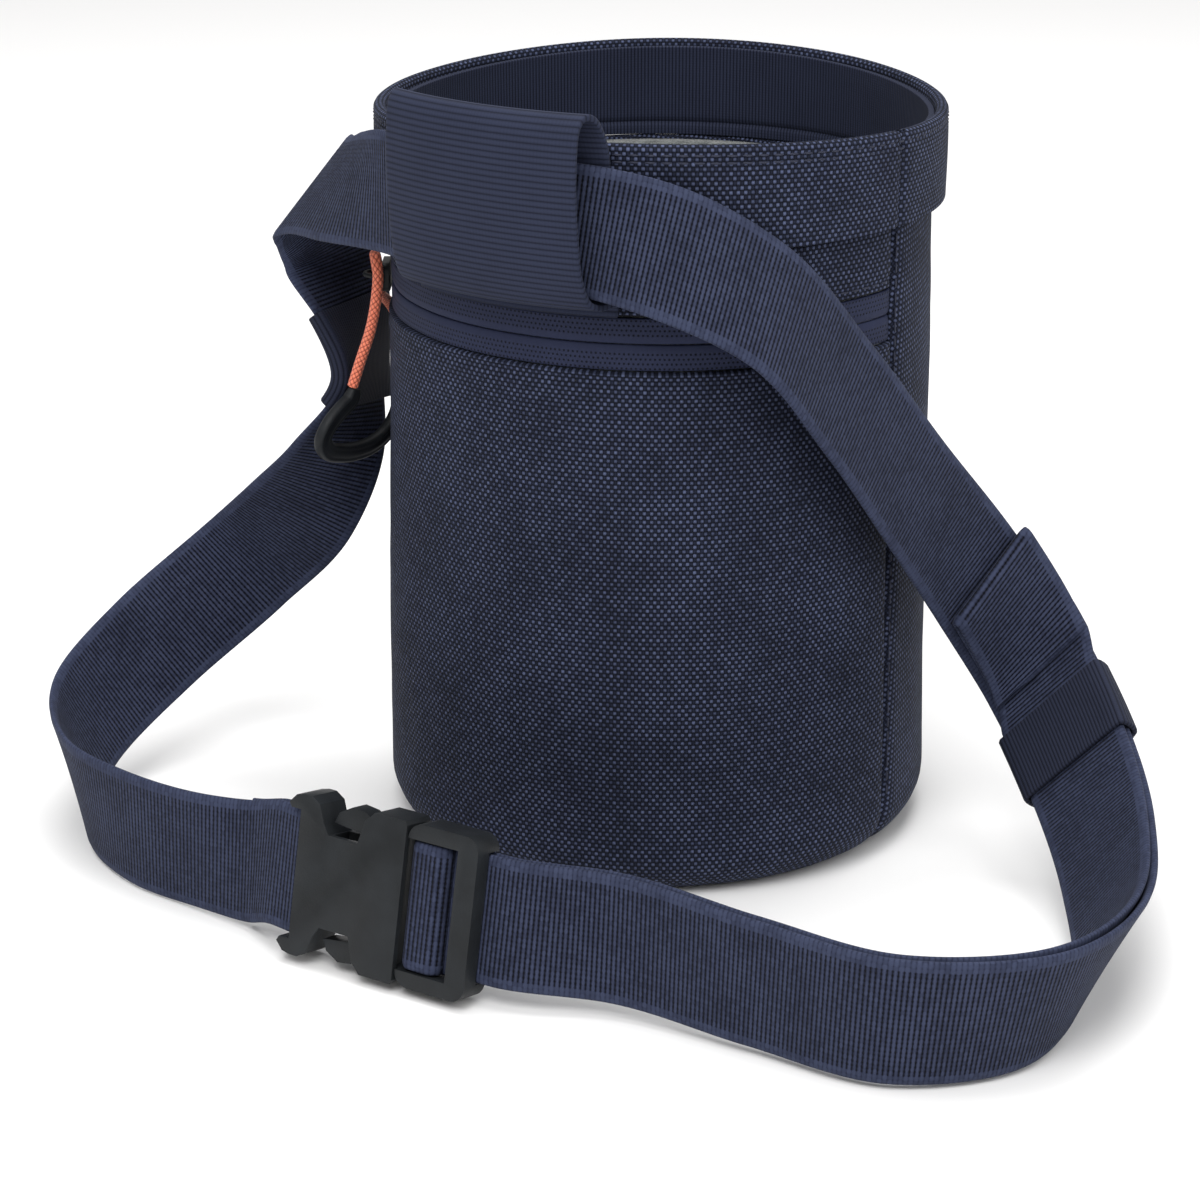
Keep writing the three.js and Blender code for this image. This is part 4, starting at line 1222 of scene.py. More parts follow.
        profile = [(0.6 * MM, foot), (foot_radius, foot), (outer(foot_height), foot_height)]
        profile += [(outer(top), top)]
        inner_top = outer(top) - sizes.fleece_thickness
        for height in np.linspace(top - 0.6 * MM, foot_height, 70):
            profile.append((outer(height) - sizes.fleece_thickness, height))
        floor = foot + sizes.fleece_thickness
        for radius in np.linspace(foot_radius - sizes.fleece_thickness, 0.6 * MM, 28):
            profile.append((radius, floor))
        angles = np.linspace(0.0, 360.0, 241)
        rows = []
        for around in angles[:-1]:
            line = []
            for index, (radius, height) in enumerate(profile):
                point = polar(around, radius, height)
                pile = 0.0
                if index > 3:
                    near = Vector(point) / sizes.tuft
                    pile = 0.5 * MM * noise.noise(near) + 0.3 * MM * noise.noise(near * 2.7)
                inward = pile if radius < inner_top + 2 * MM else 0.0
                line.append(polar(around, max(0.2 * MM, radius - inward), height + 0.3 * pile))
            rows.append(line)
        girth = running_length(np.array(profile + profile[:1]))
        cloth = np.array([[(math.radians(a) * sizes.radius_low, g) for g in girth] for a in angles])
        piece = grid_piece("fleece_pile", np.array(rows), cloth, ring=True, tube=True)
        shade(piece, 180.0)
        finished(piece, self.finishes.fleece, Slot.FLEECE, "fleece_lining")

    def face_line(self, height: float, span: tuple[float, float], lift: float) -> np.ndarray:
        """Points along the cloth's outer face.

        Args:
            height: their height.
            span: the first and the last angle.
            lift: how far they lie off the face.

        Returns:
            The points.
        """
        angles = np.linspace(*span, 400)
        radius = self.cloth_radius(height) + lift
        return np.array([polar(a, radius + self.unevenness(a, height), height) for a in angles])

    def stitches(self) -> None:
        """The sewn rows on the pocket's hem, above the zip, round the mouth and beside the seams."""
        sizes = self.sizes
        ends = (-sizes.seam_angle + 1.2, sizes.seam_angle - 1.2)
        long_row = StitchRow("pocket_stitches", 4.2 * MM, 3.3 * MM, 0.3 * MM)
        pocket = long_row.build(self.face_line(self.hem_stitch, ends, -0.22 * MM), 0.004)
        finished(pocket, self.finishes.dark_thread, Slot.CLOTH)
        upper_row = StitchRow("upper_stitches", 3.0 * MM, 2.2 * MM, 0.22 * MM)
        upper_height = self.zip_high + sizes.upper_stitch_lift
        upper = upper_row.build(self.face_line(upper_height, ends, -0.18 * MM), 0.004)
        finished(upper, self.finishes.blue_thread, Slot.CLOTH)
        for number, drop in enumerate((2.0, 3.4), start=1):
            angles = np.linspace(0.0, 360.0, 720)
            line = np.array([
                polar(a, sizes.band_radius - 0.12 * MM, self.mouth_height(a) - drop * MM) for a in angles
            ])
            rim = StitchRow(f"rim_stitches_{number}", 3.1 * MM, 2.3 * MM, 0.24 * MM).build(line, 0.004)
            finished(rim, self.finishes.blue_thread, Slot.CLOTH)
        body = (12.0 * MM, self.body_top - 1.0 * MM)
        band = (self.body_top + 2.0 * MM, sizes.height - 4.5 * MM)
        for name, around, span, radius in (
            ("right_seam_stitches", sizes.side_stitch_angle, body, None),
            ("left_seam_stitches", -sizes.side_stitch_angle, body, None),
            ("rim_seam_stitches", sizes.rim_seam_stitch_angle, band, sizes.band_radius),
        ):
            heights = np.linspace(*span, 60)
            radii = [(radius or self.cloth_radius(height)) - 0.3 * MM for height in heights]
            line = np.array([polar(around, out, height) for out, height in zip(radii, heights)])
            seam = StitchRow(name, 3.0 * MM, 2.1 * MM, 0.22 * MM).build(line)
            finished(seam, self.finishes.blue_thread, Slot.CLOTH)


# The zip


class Zip:
    """The pocket's zip: two tapes that meet on a closed line, and a slider with its lug."""

    def __init__(self, finishes: Finishes, drum: Drum) -> None:
        """Keeps the finishes, and the drum that carries the zip."""
        self.finishes = finishes
        self.drum = drum

    def build(self) -> None:
        """Makes the tapes and the slider."""
        sizes = self.drum.sizes
        gap = sizes.seam_gap / 2
        middle, width = sizes.zip_height, sizes.zip_tape_width
        self.tape("zip_cloth_lower", middle - width, middle - gap, "zip_tape_lower")
        self.tape("zip_cloth_upper", middle + gap, middle + width, "zip_tape_upper")
        slider = softened_copy("zip_slider", "slider_body", 0.35 * MM, 2)
        finished(slider, self.finishes.plastic, Slot.PLASTIC, "zip_slider")
        LOG.info("zip made")

    def tape(self, name: str, low: float, high: float, node: str) -> None:
        """One tape, rounded where it meets the other.

        Args:
            name: the new object's name.
            low: height of its lower edge.
            high: height of its upper edge.
            node: the CAD node that it stands for.
        """
        sizes = self.drum.sizes
        face = self.drum.cloth_radius(sizes.zip_height) - sizes.zip_set_back
        middle = face - sizes.zip_tape_thickness / 2
        rows = [(middle, height) for height in np.linspace(low, high, 12)]

        def shape(around: float, height: float) -> float:
            """The drum's swells, and the edge that turns in at the closed line."""
            fold = smooth_bump(height - sizes.zip_height, 0.8 * MM)
            swell = 0.5 * self.drum.unevenness(around, sizes.zip_height)
            return swell - 0.35 * MM * fold

        ends = (-sizes.zip_end_angle, sizes.zip_end_angle)
        piece = self.drum.wall(name, ends, rows, sizes.zip_tape_thickness, shape, 0.35 * MM)
        for loop in piece.data.loops:
            place = piece.data.vertices[loop.vertex_index].co
            along = math.atan2(place.x, -place.y) * sizes.radius_low
            piece.data.uv_layers[0].data[loop.index].uv = (along, place.z - sizes.zip_height)
        finished(piece, self.finishes.zip_tape, Slot.TAPE, node)


# The belt


@dataclass(frozen=True)
class BeltSizes:
    """Sizes of the belt and what carries it."""

    width: float = 25.0 * MM
    thickness: float = 1.4 * MM
    layer_gap: float = 0.4 * MM
    reach: float = 150.0 * MM
    carry_height: float = 140.0 * MM
    carry_gap: float = 3.0 * MM
    floor_gap: float = 0.4 * MM
    loop_width: float = 45.5 * MM
    loop_middle: float = 2.2 * MM
    loop_hug: float = 0.68
    loop_seat: float = 1.15 * MM
    loop_thickness: float = 1.3 * MM
    loop_bulge: float = 8.8 * MM
    loop_crown: float = 161.4 * MM
    sewn_lap: float = 5.0 * MM
    keeper_wall: float = 1.0 * MM
    keeper_slack: float = 0.55 * MM
    left_keeper_length: float = 22.0 * MM
    right_keeper_length: float = 17.5 * MM
    left_keeper_place: float = 0.335
    right_keeper_place: float = 0.475
    tail_end_place: float = 0.372
    tail_slip: float = 0.14
    keeper_bulge: float = 2.6 * MM
    loop_foot_gap: float = 0.4 * MM
    loop_stitch_lifts: tuple[float, float] = (1.3 * MM, 4.0 * MM)


@dataclass(frozen=True)
class Sleeve:
    """Where an elastic sleeve sits, and what lies inside it.

    Args:
        place: the sleeve's middle as a share of the run's length.
        length: its length along the belt.
        low: offset of the lowest webbing face inside it.
        high: offset of the highest one.
        bulge: how far its outer side bows open at the far end.
    """

    place: float
    length: float
    low: float
    high: float
    bulge: float = 0.0


@dataclass(frozen=True)
class RunRow:
    """Where the belt's middle is, and how it is turned there.

    Args:
        around: angle from the bag's front.
        out: share of the way from the drum to the belt's reach.
        rise: share of the way from lying on the floor to the carrying height.
        turn: heading of the upper edge, away from the outward direction.
        tip: elevation of the upper edge.
    """

    around: float
    out: float
    rise: float
    turn: float
    tip: float


@dataclass(frozen=True)
class FoldRow:
    """A row across the folded webbing, from its upper edge to its lower one.

    Args:
        top_around: angle of the upper edge from the bag's front.
        top_out: its share of the way from the drum to the belt's reach.
        top_lift: its height over the carrying height, as a share of the webbing's width.
        low_around: angle of the lower edge.
        low_out: its share of the way out.
        low_lift: its height over the carrying height.
    """

    top_around: float
    top_out: float
    top_lift: float
    low_around: float
    low_out: float
    low_lift: float


RIGHT_RUN = (
    RunRow(12, 0.008, 1, 90, 88),
    RunRow(21, 0.009, 0.995, 105, 82),
    RunRow(35, 0.034, 0.97, 143, 68),
    RunRow(51, 0.056, 0.895, 137, 52),
    RunRow(69, 0.03, 0.72, 114, 45),
    RunRow(86, 0.042, 0.54, 89, 43),
    RunRow(101, 0.105, 0.37, 57, 43),
    RunRow(106, 0.23, 0.215, 24, 44),
    RunRow(96, 0.4, 0.115, 17, 45),
    RunRow(84, 0.615, 0.04, 18, 51),
    RunRow(73, 0.83, 0.004, 22, 62),
    RunRow(61.5, 0.965, 0.002, 27, 77),
    RunRow(51.5, 0.91, 0.006, 50, 86),
    RunRow(42, 0.69, 0.01, 120, 87),
    RunRow(30, 0.52, 0.022, 165, 83),
)
FOLD_RUN = (
    FoldRow(-13, 0.008, 0.5, -13, 0.008, -0.5),
    FoldRow(-26.5, 0.009, 0.49, -27, 0.012, -0.49),
    FoldRow(-36, 0.012, 0.4, -45, 0.085, -0.57),
    FoldRow(-44, 0.016, 0.3, -61.1, 0.208, -0.71),
    FoldRow(-46, 0.016, 0.29, -62.7, 0.229, -0.76),
    FoldRow(-48.6, 0.012, 0.24, -63.8, 0.226, -0.83),
    FoldRow(-64.2, 0.02, -0.35, -62.8, 0.207, -0.96),
)
LEFT_RUN = (
    RunRow(-69, 0.112, 0.799, 63, -7),
    RunRow(-69.1, 0.065, 0.713, 78, 0),
    RunRow(-68.2, 0.044, 0.622, 87, 6),
    RunRow(-66.6, 0.099, 0.481, 53, 17),
    RunRow(-68, 0.203, 0.365, 22, 31),
    RunRow(-71.3, 0.39, 0.234, 0, 43),
    RunRow(-63.4, 0.57, 0.123, 5, 52),
    RunRow(-53.4, 0.702, 0.041, 15, 62),
    RunRow(-40.8, 0.718, 0.004, 26, 79),
    RunRow(-30.8, 0.65, 0.001, 60, 88),
    RunRow(-21.2, 0.556, 0.003, 145, 88),
    RunRow(-15, 0.508, 0.01, -149, 81),
)
# The loop's stand off the mouth band as a share of its bulge, and its rise as a share of the way up
LOOP_PROFILE = (
    (0.11, 0.52),
    (0.11, 0.66),
    (0.13, 0.79),
    (0.3, 0.91),
    (0.56, 0.985),
    (0.84, 1.0),
    (1.04, 0.95),
    (1.14, 0.83),
    (1.16, 0.62),
    (1.08, 0.42),
    (0.95, 0.24),
    (0.7, 0.115),
    (0.35, 0.075),
)


@dataclass(frozen=True)
class BuckleSizes:
    """Sizes and place of the buckle. In its own frame x runs along the belt and its front is at -y."""

    length: float = 44.0 * MM
    centre: tuple[float, float, float] = (7.7 * MM, -103.6 * MM, 17.0 * MM)
    turn: float = 2.4
    lean: float = 12.0
    play: float = 0.3 * MM
    sewn_bar_radius: float = 1.5 * MM
    sewn_bar_inset: float = 3.6 * MM
    sewn_bar_depth: float = 0.8 * MM
    ladder_place: float = 0.741
    ladder_width: float = 5.6 * MM
    ladder_thickness: float = 2.2 * MM
    ladder_depth: float = -0.6 * MM
    outer_bar_width: float = 4.5 * MM
    tail_depth: float = 1.3 * MM

    def place(self) -> Matrix:
        """The buckle's frame in the bag's."""
        turned = Matrix.Rotation(math.radians(self.turn), 4, "Z")
        leaning = Matrix.Rotation(math.radians(-self.lean), 4, "X")
        return Matrix.Translation(self.centre) @ (turned @ leaning)


@dataclass
class Run:
    """A stretch of belt: the middle of each row, and half its width as a vector."""

    centres: np.ndarray
    halves: np.ndarray

    def lengths(self) -> np.ndarray:
        """The distance along the run for each row."""
        return running_length(self.centres)

    def between(self, start: float, end: float) -> "Run":
        """The part between two places.

        Args:
            start: the first distance along the run.
            end: the last one.

        Returns:
            The part, with a row at each end.
        """
        lengths = self.lengths()
        inside = lengths[(lengths > start + 0.3 * MM) & (lengths < end - 0.3 * MM)]
        wanted = np.concatenate([[start], inside, [end]])

        def pick(values: np.ndarray) -> np.ndarray:
            """The values at the wanted distances."""
            return np.column_stack([np.interp(wanted, lengths, values[:, k]) for k in range(3)])

        return Run(pick(self.centres), pick(self.halves))

    def grid(self, shares: np.ndarray, offset: float = 0.0) -> np.ndarray:
        """Points across the run at shares of its half width, moved off it along its normals."""
        grid = self.centres[:, None, :] + shares[None, :, None] * self.halves[:, None, :]
        return grid + offset * grid_normals(grid)

    @classmethod
    def smooth(cls, centres: np.ndarray, halves: np.ndarray, step: float) -> "Run":
        """A smooth run through given rows, with slopes weighed by the distances between the rows.

        Args:
            centres: the rows' middles.
            halves: the rows' half widths.
            step: the greatest distance between the new rows.

        Returns:
            The smooth run.
        """
        place = running_length(centres)
        last = len(centres) - 1

        def slopes(values: np.ndarray) -> np.ndarray:
            """The slopes of a set of values.

            Args:
                values: one point for each given row.

            Returns:
                Their slopes along the run.
            """
            steps = np.diff(values, axis=0) / np.diff(place)[:, None]
            out = np.empty_like(values)
            out[0], out[last] = steps[0], steps[-1]
            for i in range(1, last):
                back, ahead = place[i] - place[i - 1], place[i + 1] - place[i]
                out[i] = (steps[i - 1] * ahead + steps[i] * back) / (back + ahead)
            return out

        def filled(values: np.ndarray) -> np.ndarray:
            """The values at the given rows and between them.

            Args:
                values: one point for each given row.

            Returns:
                One point for each new row.
            """
            slope, out = slopes(values), []
            for i in range(last):
                span = place[i + 1] - place[i]
                for t in np.linspace(0.0, 1.0, max(1, math.ceil(span / step)), endpoint=False):
                    t2, t3 = t * t, t**3
                    point = values[i] * (2 * t3 - 3 * t2 + 1) + slope[i] * ((t3 - 2 * t2 + t) * span)
                    point += values[i + 1] * (3 * t2 - 2 * t3) + slope[i + 1] * ((t3 - t2) * span)
                    out.append(point)
            out.append(values[last])
            return np.array(out)

        return cls(filled(centres), filled(halves))


class Belt:
    """The waist belt: its two halves, the adjusting tail, the keepers and the wide loop on the bag."""

    step = 1.6 * MM
    columns = 15
    # Reach and depth of the hem's folded end, in layers of webbing
    hem_fold = ((0.4, 1.1), (0.62, 1.5), (0.4, 1.9))

    def __init__(self, finishes: Finishes, drum: Drum, sizes: BeltSizes, buckle: BuckleSizes) -> None:
        """Keeps what the belt is made from.

        Args:
            finishes: the materials.
            drum: the drum that the belt hangs on.
            sizes: the belt's sizes.
            buckle: the buckle's sizes and place.
        """
        self.finishes = finishes
        self.drum = drum
        self.sizes = sizes
        self.buckle = buckle
        self.frame = np.array(buckle.place())
        self.layer = sizes.thickness + sizes.layer_gap
        self.left_end = -buckle.length / 2
        self.right_end = buckle.length / 2

    def build(self) -> None:
        """Makes all of the belt's pieces."""
        left = self.left_half()
        right = self.right_half()
        sizes = self.sizes
        low, high = -sizes.thickness / 2, sizes.thickness / 2
        left_sleeve = Sleeve(sizes.left_keeper_place, sizes.left_keeper_length, low, high)
        self.keeper("left_keeper", left, left_sleeve)
        place, length = sizes.right_keeper_place, sizes.right_keeper_length
        right_sleeve = Sleeve(place, length, low, self.layer + high, sizes.keeper_bulge)
        self.keeper("right_keeper", right, right_sleeve)
        self.loop()
        LOG.info("belt made")

    def radius(self, out: float) -> float:
        """Distance of the belt's middle from the drum's axis."""
        return lerp(self.drum.sizes.band_radius + self.sizes.carry_gap, self.sizes.reach, out)

    def run_row(self, row: RunRow, side: int) -> tuple[np.ndarray, np.ndarray]:
        """The centre and half width of one row.

        Args:
            row: the row of the table.
            side: 1 on the right half and -1 on the left.

        Returns:
            Both as points.
        """
        rest = self.sizes.width / 2 + self.sizes.floor_gap
        centre = polar(row.around, self.radius(row.out), lerp(rest, self.sizes.carry_height, row.rise))
        tip = math.radians(row.tip)
        half = polar(row.around + row.turn, math.cos(tip), math.sin(tip))
        return centre, half * side * self.sizes.width / 2

    @staticmethod
    def edge_row(top: np.ndarray, low: np.ndarray) -> tuple[np.ndarray, np.ndarray]:
        """The centre and half width from the two edges."""
        return (top + low) / 2, (top - low) / 2

    def fold_row(self, row: FoldRow) -> tuple[np.ndarray, np.ndarray]:
        """The centre and half width of a slanted row."""
        height, width = self.sizes.carry_height, self.sizes.width
        top = polar(row.top_around, self.radius(row.top_out), height + row.top_lift * width)
        low = polar(row.low_around, self.radius(row.low_out), height + row.low_lift * width)
        return self.edge_row(top, low)

    def start_row(self, side: int, out: float) -> tuple[np.ndarray, np.ndarray]:
        """The row beside the loop's middle."""
        split = side * math.degrees(self.drum.sizes.seam_gap / 2 / self.radius(0.0))
        half, height, radius = self.sizes.width / 2, self.sizes.carry_height, self.radius(out)
        return self.edge_row(polar(split, radius, height + half), polar(split, radius, height - half))

    def buckle_row(self, x: float, y: float, side: int) -> tuple[np.ndarray, np.ndarray]:
        """A row that lies in the buckle's frame."""
        centre = self.frame @ np.array([x, y, 0.0, 1.0])
        half = self.frame @ np.array([0.0, 0.0, side * self.sizes.width / 2, 0.0])
        return centre[:3], half[:3]

    def arc_rows(
        self, x: float, y: float, radius: float, start: float, end: float, steps: int, side: int
    ) -> list[tuple[np.ndarray, np.ndarray]]:
        """Rows round a bar.

        Args:
            x: the bar's middle in the buckle's frame.
            y: the same, in depth.
            radius: distance of the webbing's middle from it.
            start: the first angle in degrees.
            end: the last one.
            steps: how many rows.
            side: 1 on the right half and -1 on the left.

        Returns:
            Centres and half widths.
        """
        angles = np.radians(np.linspace(start, end, steps))
        return [self.buckle_row(x + radius * math.cos(a), y + radius * math.sin(a), side) for a in angles]

    def ribbon(self, name: str, grid: np.ndarray, *nodes: str) -> bpy.types.Object:
        """Webbing over a grid of its middle surface, with rounded selvedges.

        Args:
            name: the new object's name.
            grid: points of the middle surface, row by row.
            nodes: the CAD nodes that it stands for.

        Returns:
            The new object.
        """
        columns = grid.shape[1]
        shares = self.shares()
        round_part = self.sizes.thickness * 0.8 / (self.sizes.width / 2)
        past_flat = np.clip((np.abs(shares) - 1 + round_part) / round_part, 0, 1)
        depth = np.sqrt(np.clip(1 - past_flat**2, 0.12, 1))
        shift = grid_normals(grid) * (self.sizes.thickness / 2 * depth)[None, :, None]
        section = np.concatenate([grid + shift, (grid - shift)[:, ::-1]], axis=1)
        lengths = running_length(grid[:, columns // 2])
        across = shares * self.sizes.width / 2
        girth = np.concatenate([across, across[::-1], across[:1]])
        cloth = np.array([[(length, place) for place in girth] for length in lengths])
        piece = grid_piece(name, section, cloth, tube=True, caps=True)
        shade(piece, 70.0)
        return finished(piece, self.finishes.webbing, Slot.WEBBING, *nodes)

    def shares(self) -> np.ndarray:
        """Places across the webbing as shares of its half width, closer together at the edges."""
        return np.sin(np.linspace(-math.pi / 2, math.pi / 2, self.columns))

    def rows_grid(self, rows: list[tuple[np.ndarray, np.ndarray]]) -> np.ndarray:
        """A grid over rows given one by one."""
        shares = self.shares()
        return np.array([[centre + share * half for share in shares] for centre, half in rows])

    def left_half(self) -> Run:
        """The half from the loop over its fold to the sewn bar, round the bar and back.

        Returns:
            Its run, which the left keeper follows.
        """
        buckle = self.buckle
        bar_x = self.left_end + buckle.sewn_bar_inset
        turn = buckle.sewn_bar_radius + buckle.play + self.sizes.thickness / 2
        rows = [self.start_row(-1, FOLD_RUN[0].top_out)]
        rows += [self.fold_row(row) for row in FOLD_RUN]
        rows += [self.run_row(row, -1) for row in LEFT_RUN]
        rows += [
            self.buckle_row(self.left_end - 4.5 * MM, 0.0, -1),
            self.buckle_row(self.left_end, -0.9 * MM, -1),
            self.buckle_row(bar_x, buckle.sewn_bar_depth - turn, -1),
        ]
        run = Run.smooth(np.array([c for c, _ in rows]), np.array([h for _, h in rows]), self.step)
        flap_start = run.lengths()[-1] - self.sizes.width / 4
        flap_run = run.between(flap_start - self.sizes.width / 2, flap_start)
        flap = flap_run.grid(self.shares(), self.layer)[::-1]
        bend = self.rows_grid(self.arc_rows(bar_x, buckle.sewn_bar_depth, turn, -70, 90, 12, -1))
        grid = np.concatenate([run.grid(self.shares()), bend, flap])
        self.ribbon("left_webbing", grid, "belt_left")
        return run

    def right_half(self) -> Run:
        """The half from the loop round to the ladder bar, and the tail that comes back along it.

        Returns:
            Its run, which the tail and the right keeper follow.
        """
        buckle, right = self.buckle, self.right_end
        ladder_x = self.left_end + buckle.ladder_place * buckle.length
        turn = buckle.ladder_thickness / 2 + buckle.play + self.sizes.thickness / 2
        half = (buckle.ladder_width - buckle.ladder_thickness) / 2
        depth, tail = buckle.ladder_depth, buckle.tail_depth
        rows = [self.start_row(1, RIGHT_RUN[0].out)]
        rows += [self.run_row(row, 1) for row in RIGHT_RUN]
        rows += [
            self.buckle_row(right + 3 * MM, tail, 1),
            self.buckle_row(right - buckle.outer_bar_width + 1.5 * MM, tail, 1),
        ]
        run = Run.smooth(np.array([c for c, _ in rows]), np.array([h for _, h in rows]), self.step)
        inner = [self.buckle_row(right - buckle.outer_bar_width - 0.8 * MM, tail - 0.1 * MM, 1)]
        inner += self.arc_rows(ladder_x + half, depth, turn, 15, -90, 7, 1)
        inner += self.arc_rows(ladder_x - half, depth, turn, 270, 90, 12, 1)
        inner += [self.buckle_row(ladder_x + half - 0.2 * MM, depth + turn, 1)]
        grid = np.concatenate([run.grid(self.shares()), self.rows_grid(inner)])
        self.ribbon("right_webbing", grid, "belt_right")
        self.tail(run, ladder_x + half, depth + turn)
        return run

    def tail(self, run: Run, bar_end: float, bar_back: float) -> None:
        """The adjusting tail, from the ladder bar's back along the inside of the belt to its folded hem.

        Args:
            run: the belt's right run.
            bar_end: where the ladder bar's outer round begins, in the buckle's frame.
            bar_back: the webbing's middle behind the bar.
        """
        right, back_y = self.right_end, self.buckle.tail_depth + self.layer
        length = run.lengths()[-1]
        end = self.sizes.tail_end_place * length
        hem = self.sizes.width
        slip_end = end + hem
        slip_start = slip_end + self.sizes.width / 4
        distance = run.lengths()
        slip = np.clip((slip_start - distance) / (slip_start - slip_end), 0, 1) * self.sizes.tail_slip
        slipped = Run(run.centres + run.halves * slip[:, None], run.halves)

        def at(place: float) -> float:
            """A place on the run as a distance along the slipped one, which has its own length."""
            return float(np.interp(place, distance, slipped.lengths()))

        start = [
            self.buckle_row(bar_end + 0.2 * MM, bar_back + 0.4 * MM, 1),
            self.buckle_row(bar_end + 3 * MM, back_y - 0.2 * MM, 1),
            self.buckle_row(right - 3 * MM, back_y, 1),
            self.buckle_row(right + 1 * MM, back_y, 1),
        ]
        shares = self.shares()
        out = slipped.between(at(end), at(length - self.sizes.width / 3)).grid(shares, self.layer)[::-1]
        fold = []
        for reach, depth in self.hem_fold:
            row = slipped.between(at(end) - reach * self.layer, at(end + hem))
            fold.append(row.grid(shares, depth * self.layer)[:1])
        hem_back = slipped.between(at(end), at(end + hem)).grid(shares, 2 * self.layer)
        grid = np.concatenate([self.rows_grid(start), out, *fold, hem_back])
        self.ribbon("tail_webbing", grid, "belt_tail")

    def keeper_seam(self, node: str, joint: np.ndarray, normals: np.ndarray) -> None:
        """The dark butted seam along the middle of a keeper's outer side.

        Args:
            node: the keeper's CAD node.
            joint: points of the keeper's middle surface, along the belt.
            normals: the belt's normals beside them.
        """
        line = joint - normals * (self.sizes.keeper_wall * 0.74)
        angles = np.linspace(0.0, 2 * math.pi, 9)[:-1]
        section = np.array([(0.22 * MM * math.cos(a), 0.3 * MM * math.sin(a)) for a in angles])
        seam = swept(f"{node}_seam", line, section)
        shade(seam, 60.0)
        finished(seam, self.finishes.dark_thread, Slot.TAPE)

    def keeper_section(self, depth: float) -> list[tuple[float, float]]:
        """The closed section of a keeper's middle surface, flat on both sides and round at its ends.

        Args:
            depth: distance of its flat sides from its middle.

        Returns:
            Its points, across the belt and off it.
        """
        slack, flat = self.sizes.keeper_slack, 0.96
        reach = self.sizes.width / 2 + slack
        section: list[tuple[float, float]] = []
        for side in (1, -1):
            section += [(side * share * reach, side * depth) for share in np.linspace(-flat, flat, 12)]
            for angle in (60.0, 30.0, 0.0, -30.0, -60.0):
                turn = math.radians(angle)
                across = reach * flat + slack * math.cos(turn)
                section.append((side * across, side * depth * math.sin(turn)))
        return section

    def keeper(self, node: str, run: Run, sleeve: Sleeve) -> None:
        """An elastic sleeve round the belt.

        Args:
            node: the CAD node that it stands for.
            run: the belt's run.
            sleeve: its place, length and filling.
        """
        sizes = self.sizes
        middle = sleeve.place * run.lengths()[-1]
        rows = run.between(middle - sleeve.length / 2, middle + sleeve.length / 2)
        reach = sizes.width / 2 + sizes.keeper_slack
        section = self.keeper_section((sleeve.high - sleeve.low) / 2 + sizes.keeper_slack)
        filling = (sleeve.low + sleeve.high) / 2
        shares = np.linspace(-1.0, 1.0, 5)
        base = rows.grid(shares)
        normals = grid_normals(base)
        half = np.linalg.norm(rows.halves, axis=1)
        grid = np.empty((len(base), len(section), 3))
        for i in range(len(base)):
            for k, (across, off) in enumerate(section):
                share = across / half[i]
                near = np.clip((share + 1) * 2, 0, 3.999)
                j, t = int(near), near - int(near)
                normal = normals[i, j] * (1 - t) + normals[i, j + 1] * t
                centre = rows.centres[i] + rows.halves[i] * share
                opened = sleeve.bulge * (i / (len(base) - 1)) ** 2 * max(0.0, 1 - (across / reach) ** 2)
                shift = off - opened if off < 0 else off
                grid[i, k] = centre + normal * (filling + shift)
        girth = running_length(np.array(section + section[:1]))
        lengths = rows.lengths()
        cloth = np.array([[(g, a) for g in girth] for a in lengths])
        piece = grid_piece(f"{node}_band", grid, cloth, tube=True)
        thicken(piece, sizes.keeper_wall, 0.35 * MM, 0.6)
        finished(piece, self.finishes.keeper, Slot.TAPE, node)
        if sleeve.bulge:
            column = section.index(min(section, key=lambda point: (point[1] > 0, abs(point[0]))))
            self.keeper_seam(node, grid[1:-1, column], normals[1:-1, 2])

    def loop_point(self, across: float, stand: float, height: float) -> np.ndarray:
        """A point of the loop's middle surface.

        Args:
            across: its place across the loop.
            stand: how far the loop stands off the mouth band there.
            height: its height.

        Returns:
            The point.
        """
        sizes, band = self.sizes, self.drum.sizes.band_radius
        x = across + sizes.loop_middle
        hug = lerp(sizes.loop_hug, 1.0, across / sizes.loop_width + 0.5)
        opened = stand + (hug - 1) * max(0.0, stand - sizes.loop_seat)
        flatness = 0.35 * min(1.0, max(0.0, opened / sizes.loop_bulge))
        round_ = band - math.sqrt(band**2 - x * x)
        return np.array([x, round_ * (1 - flatness) - band - opened, height])

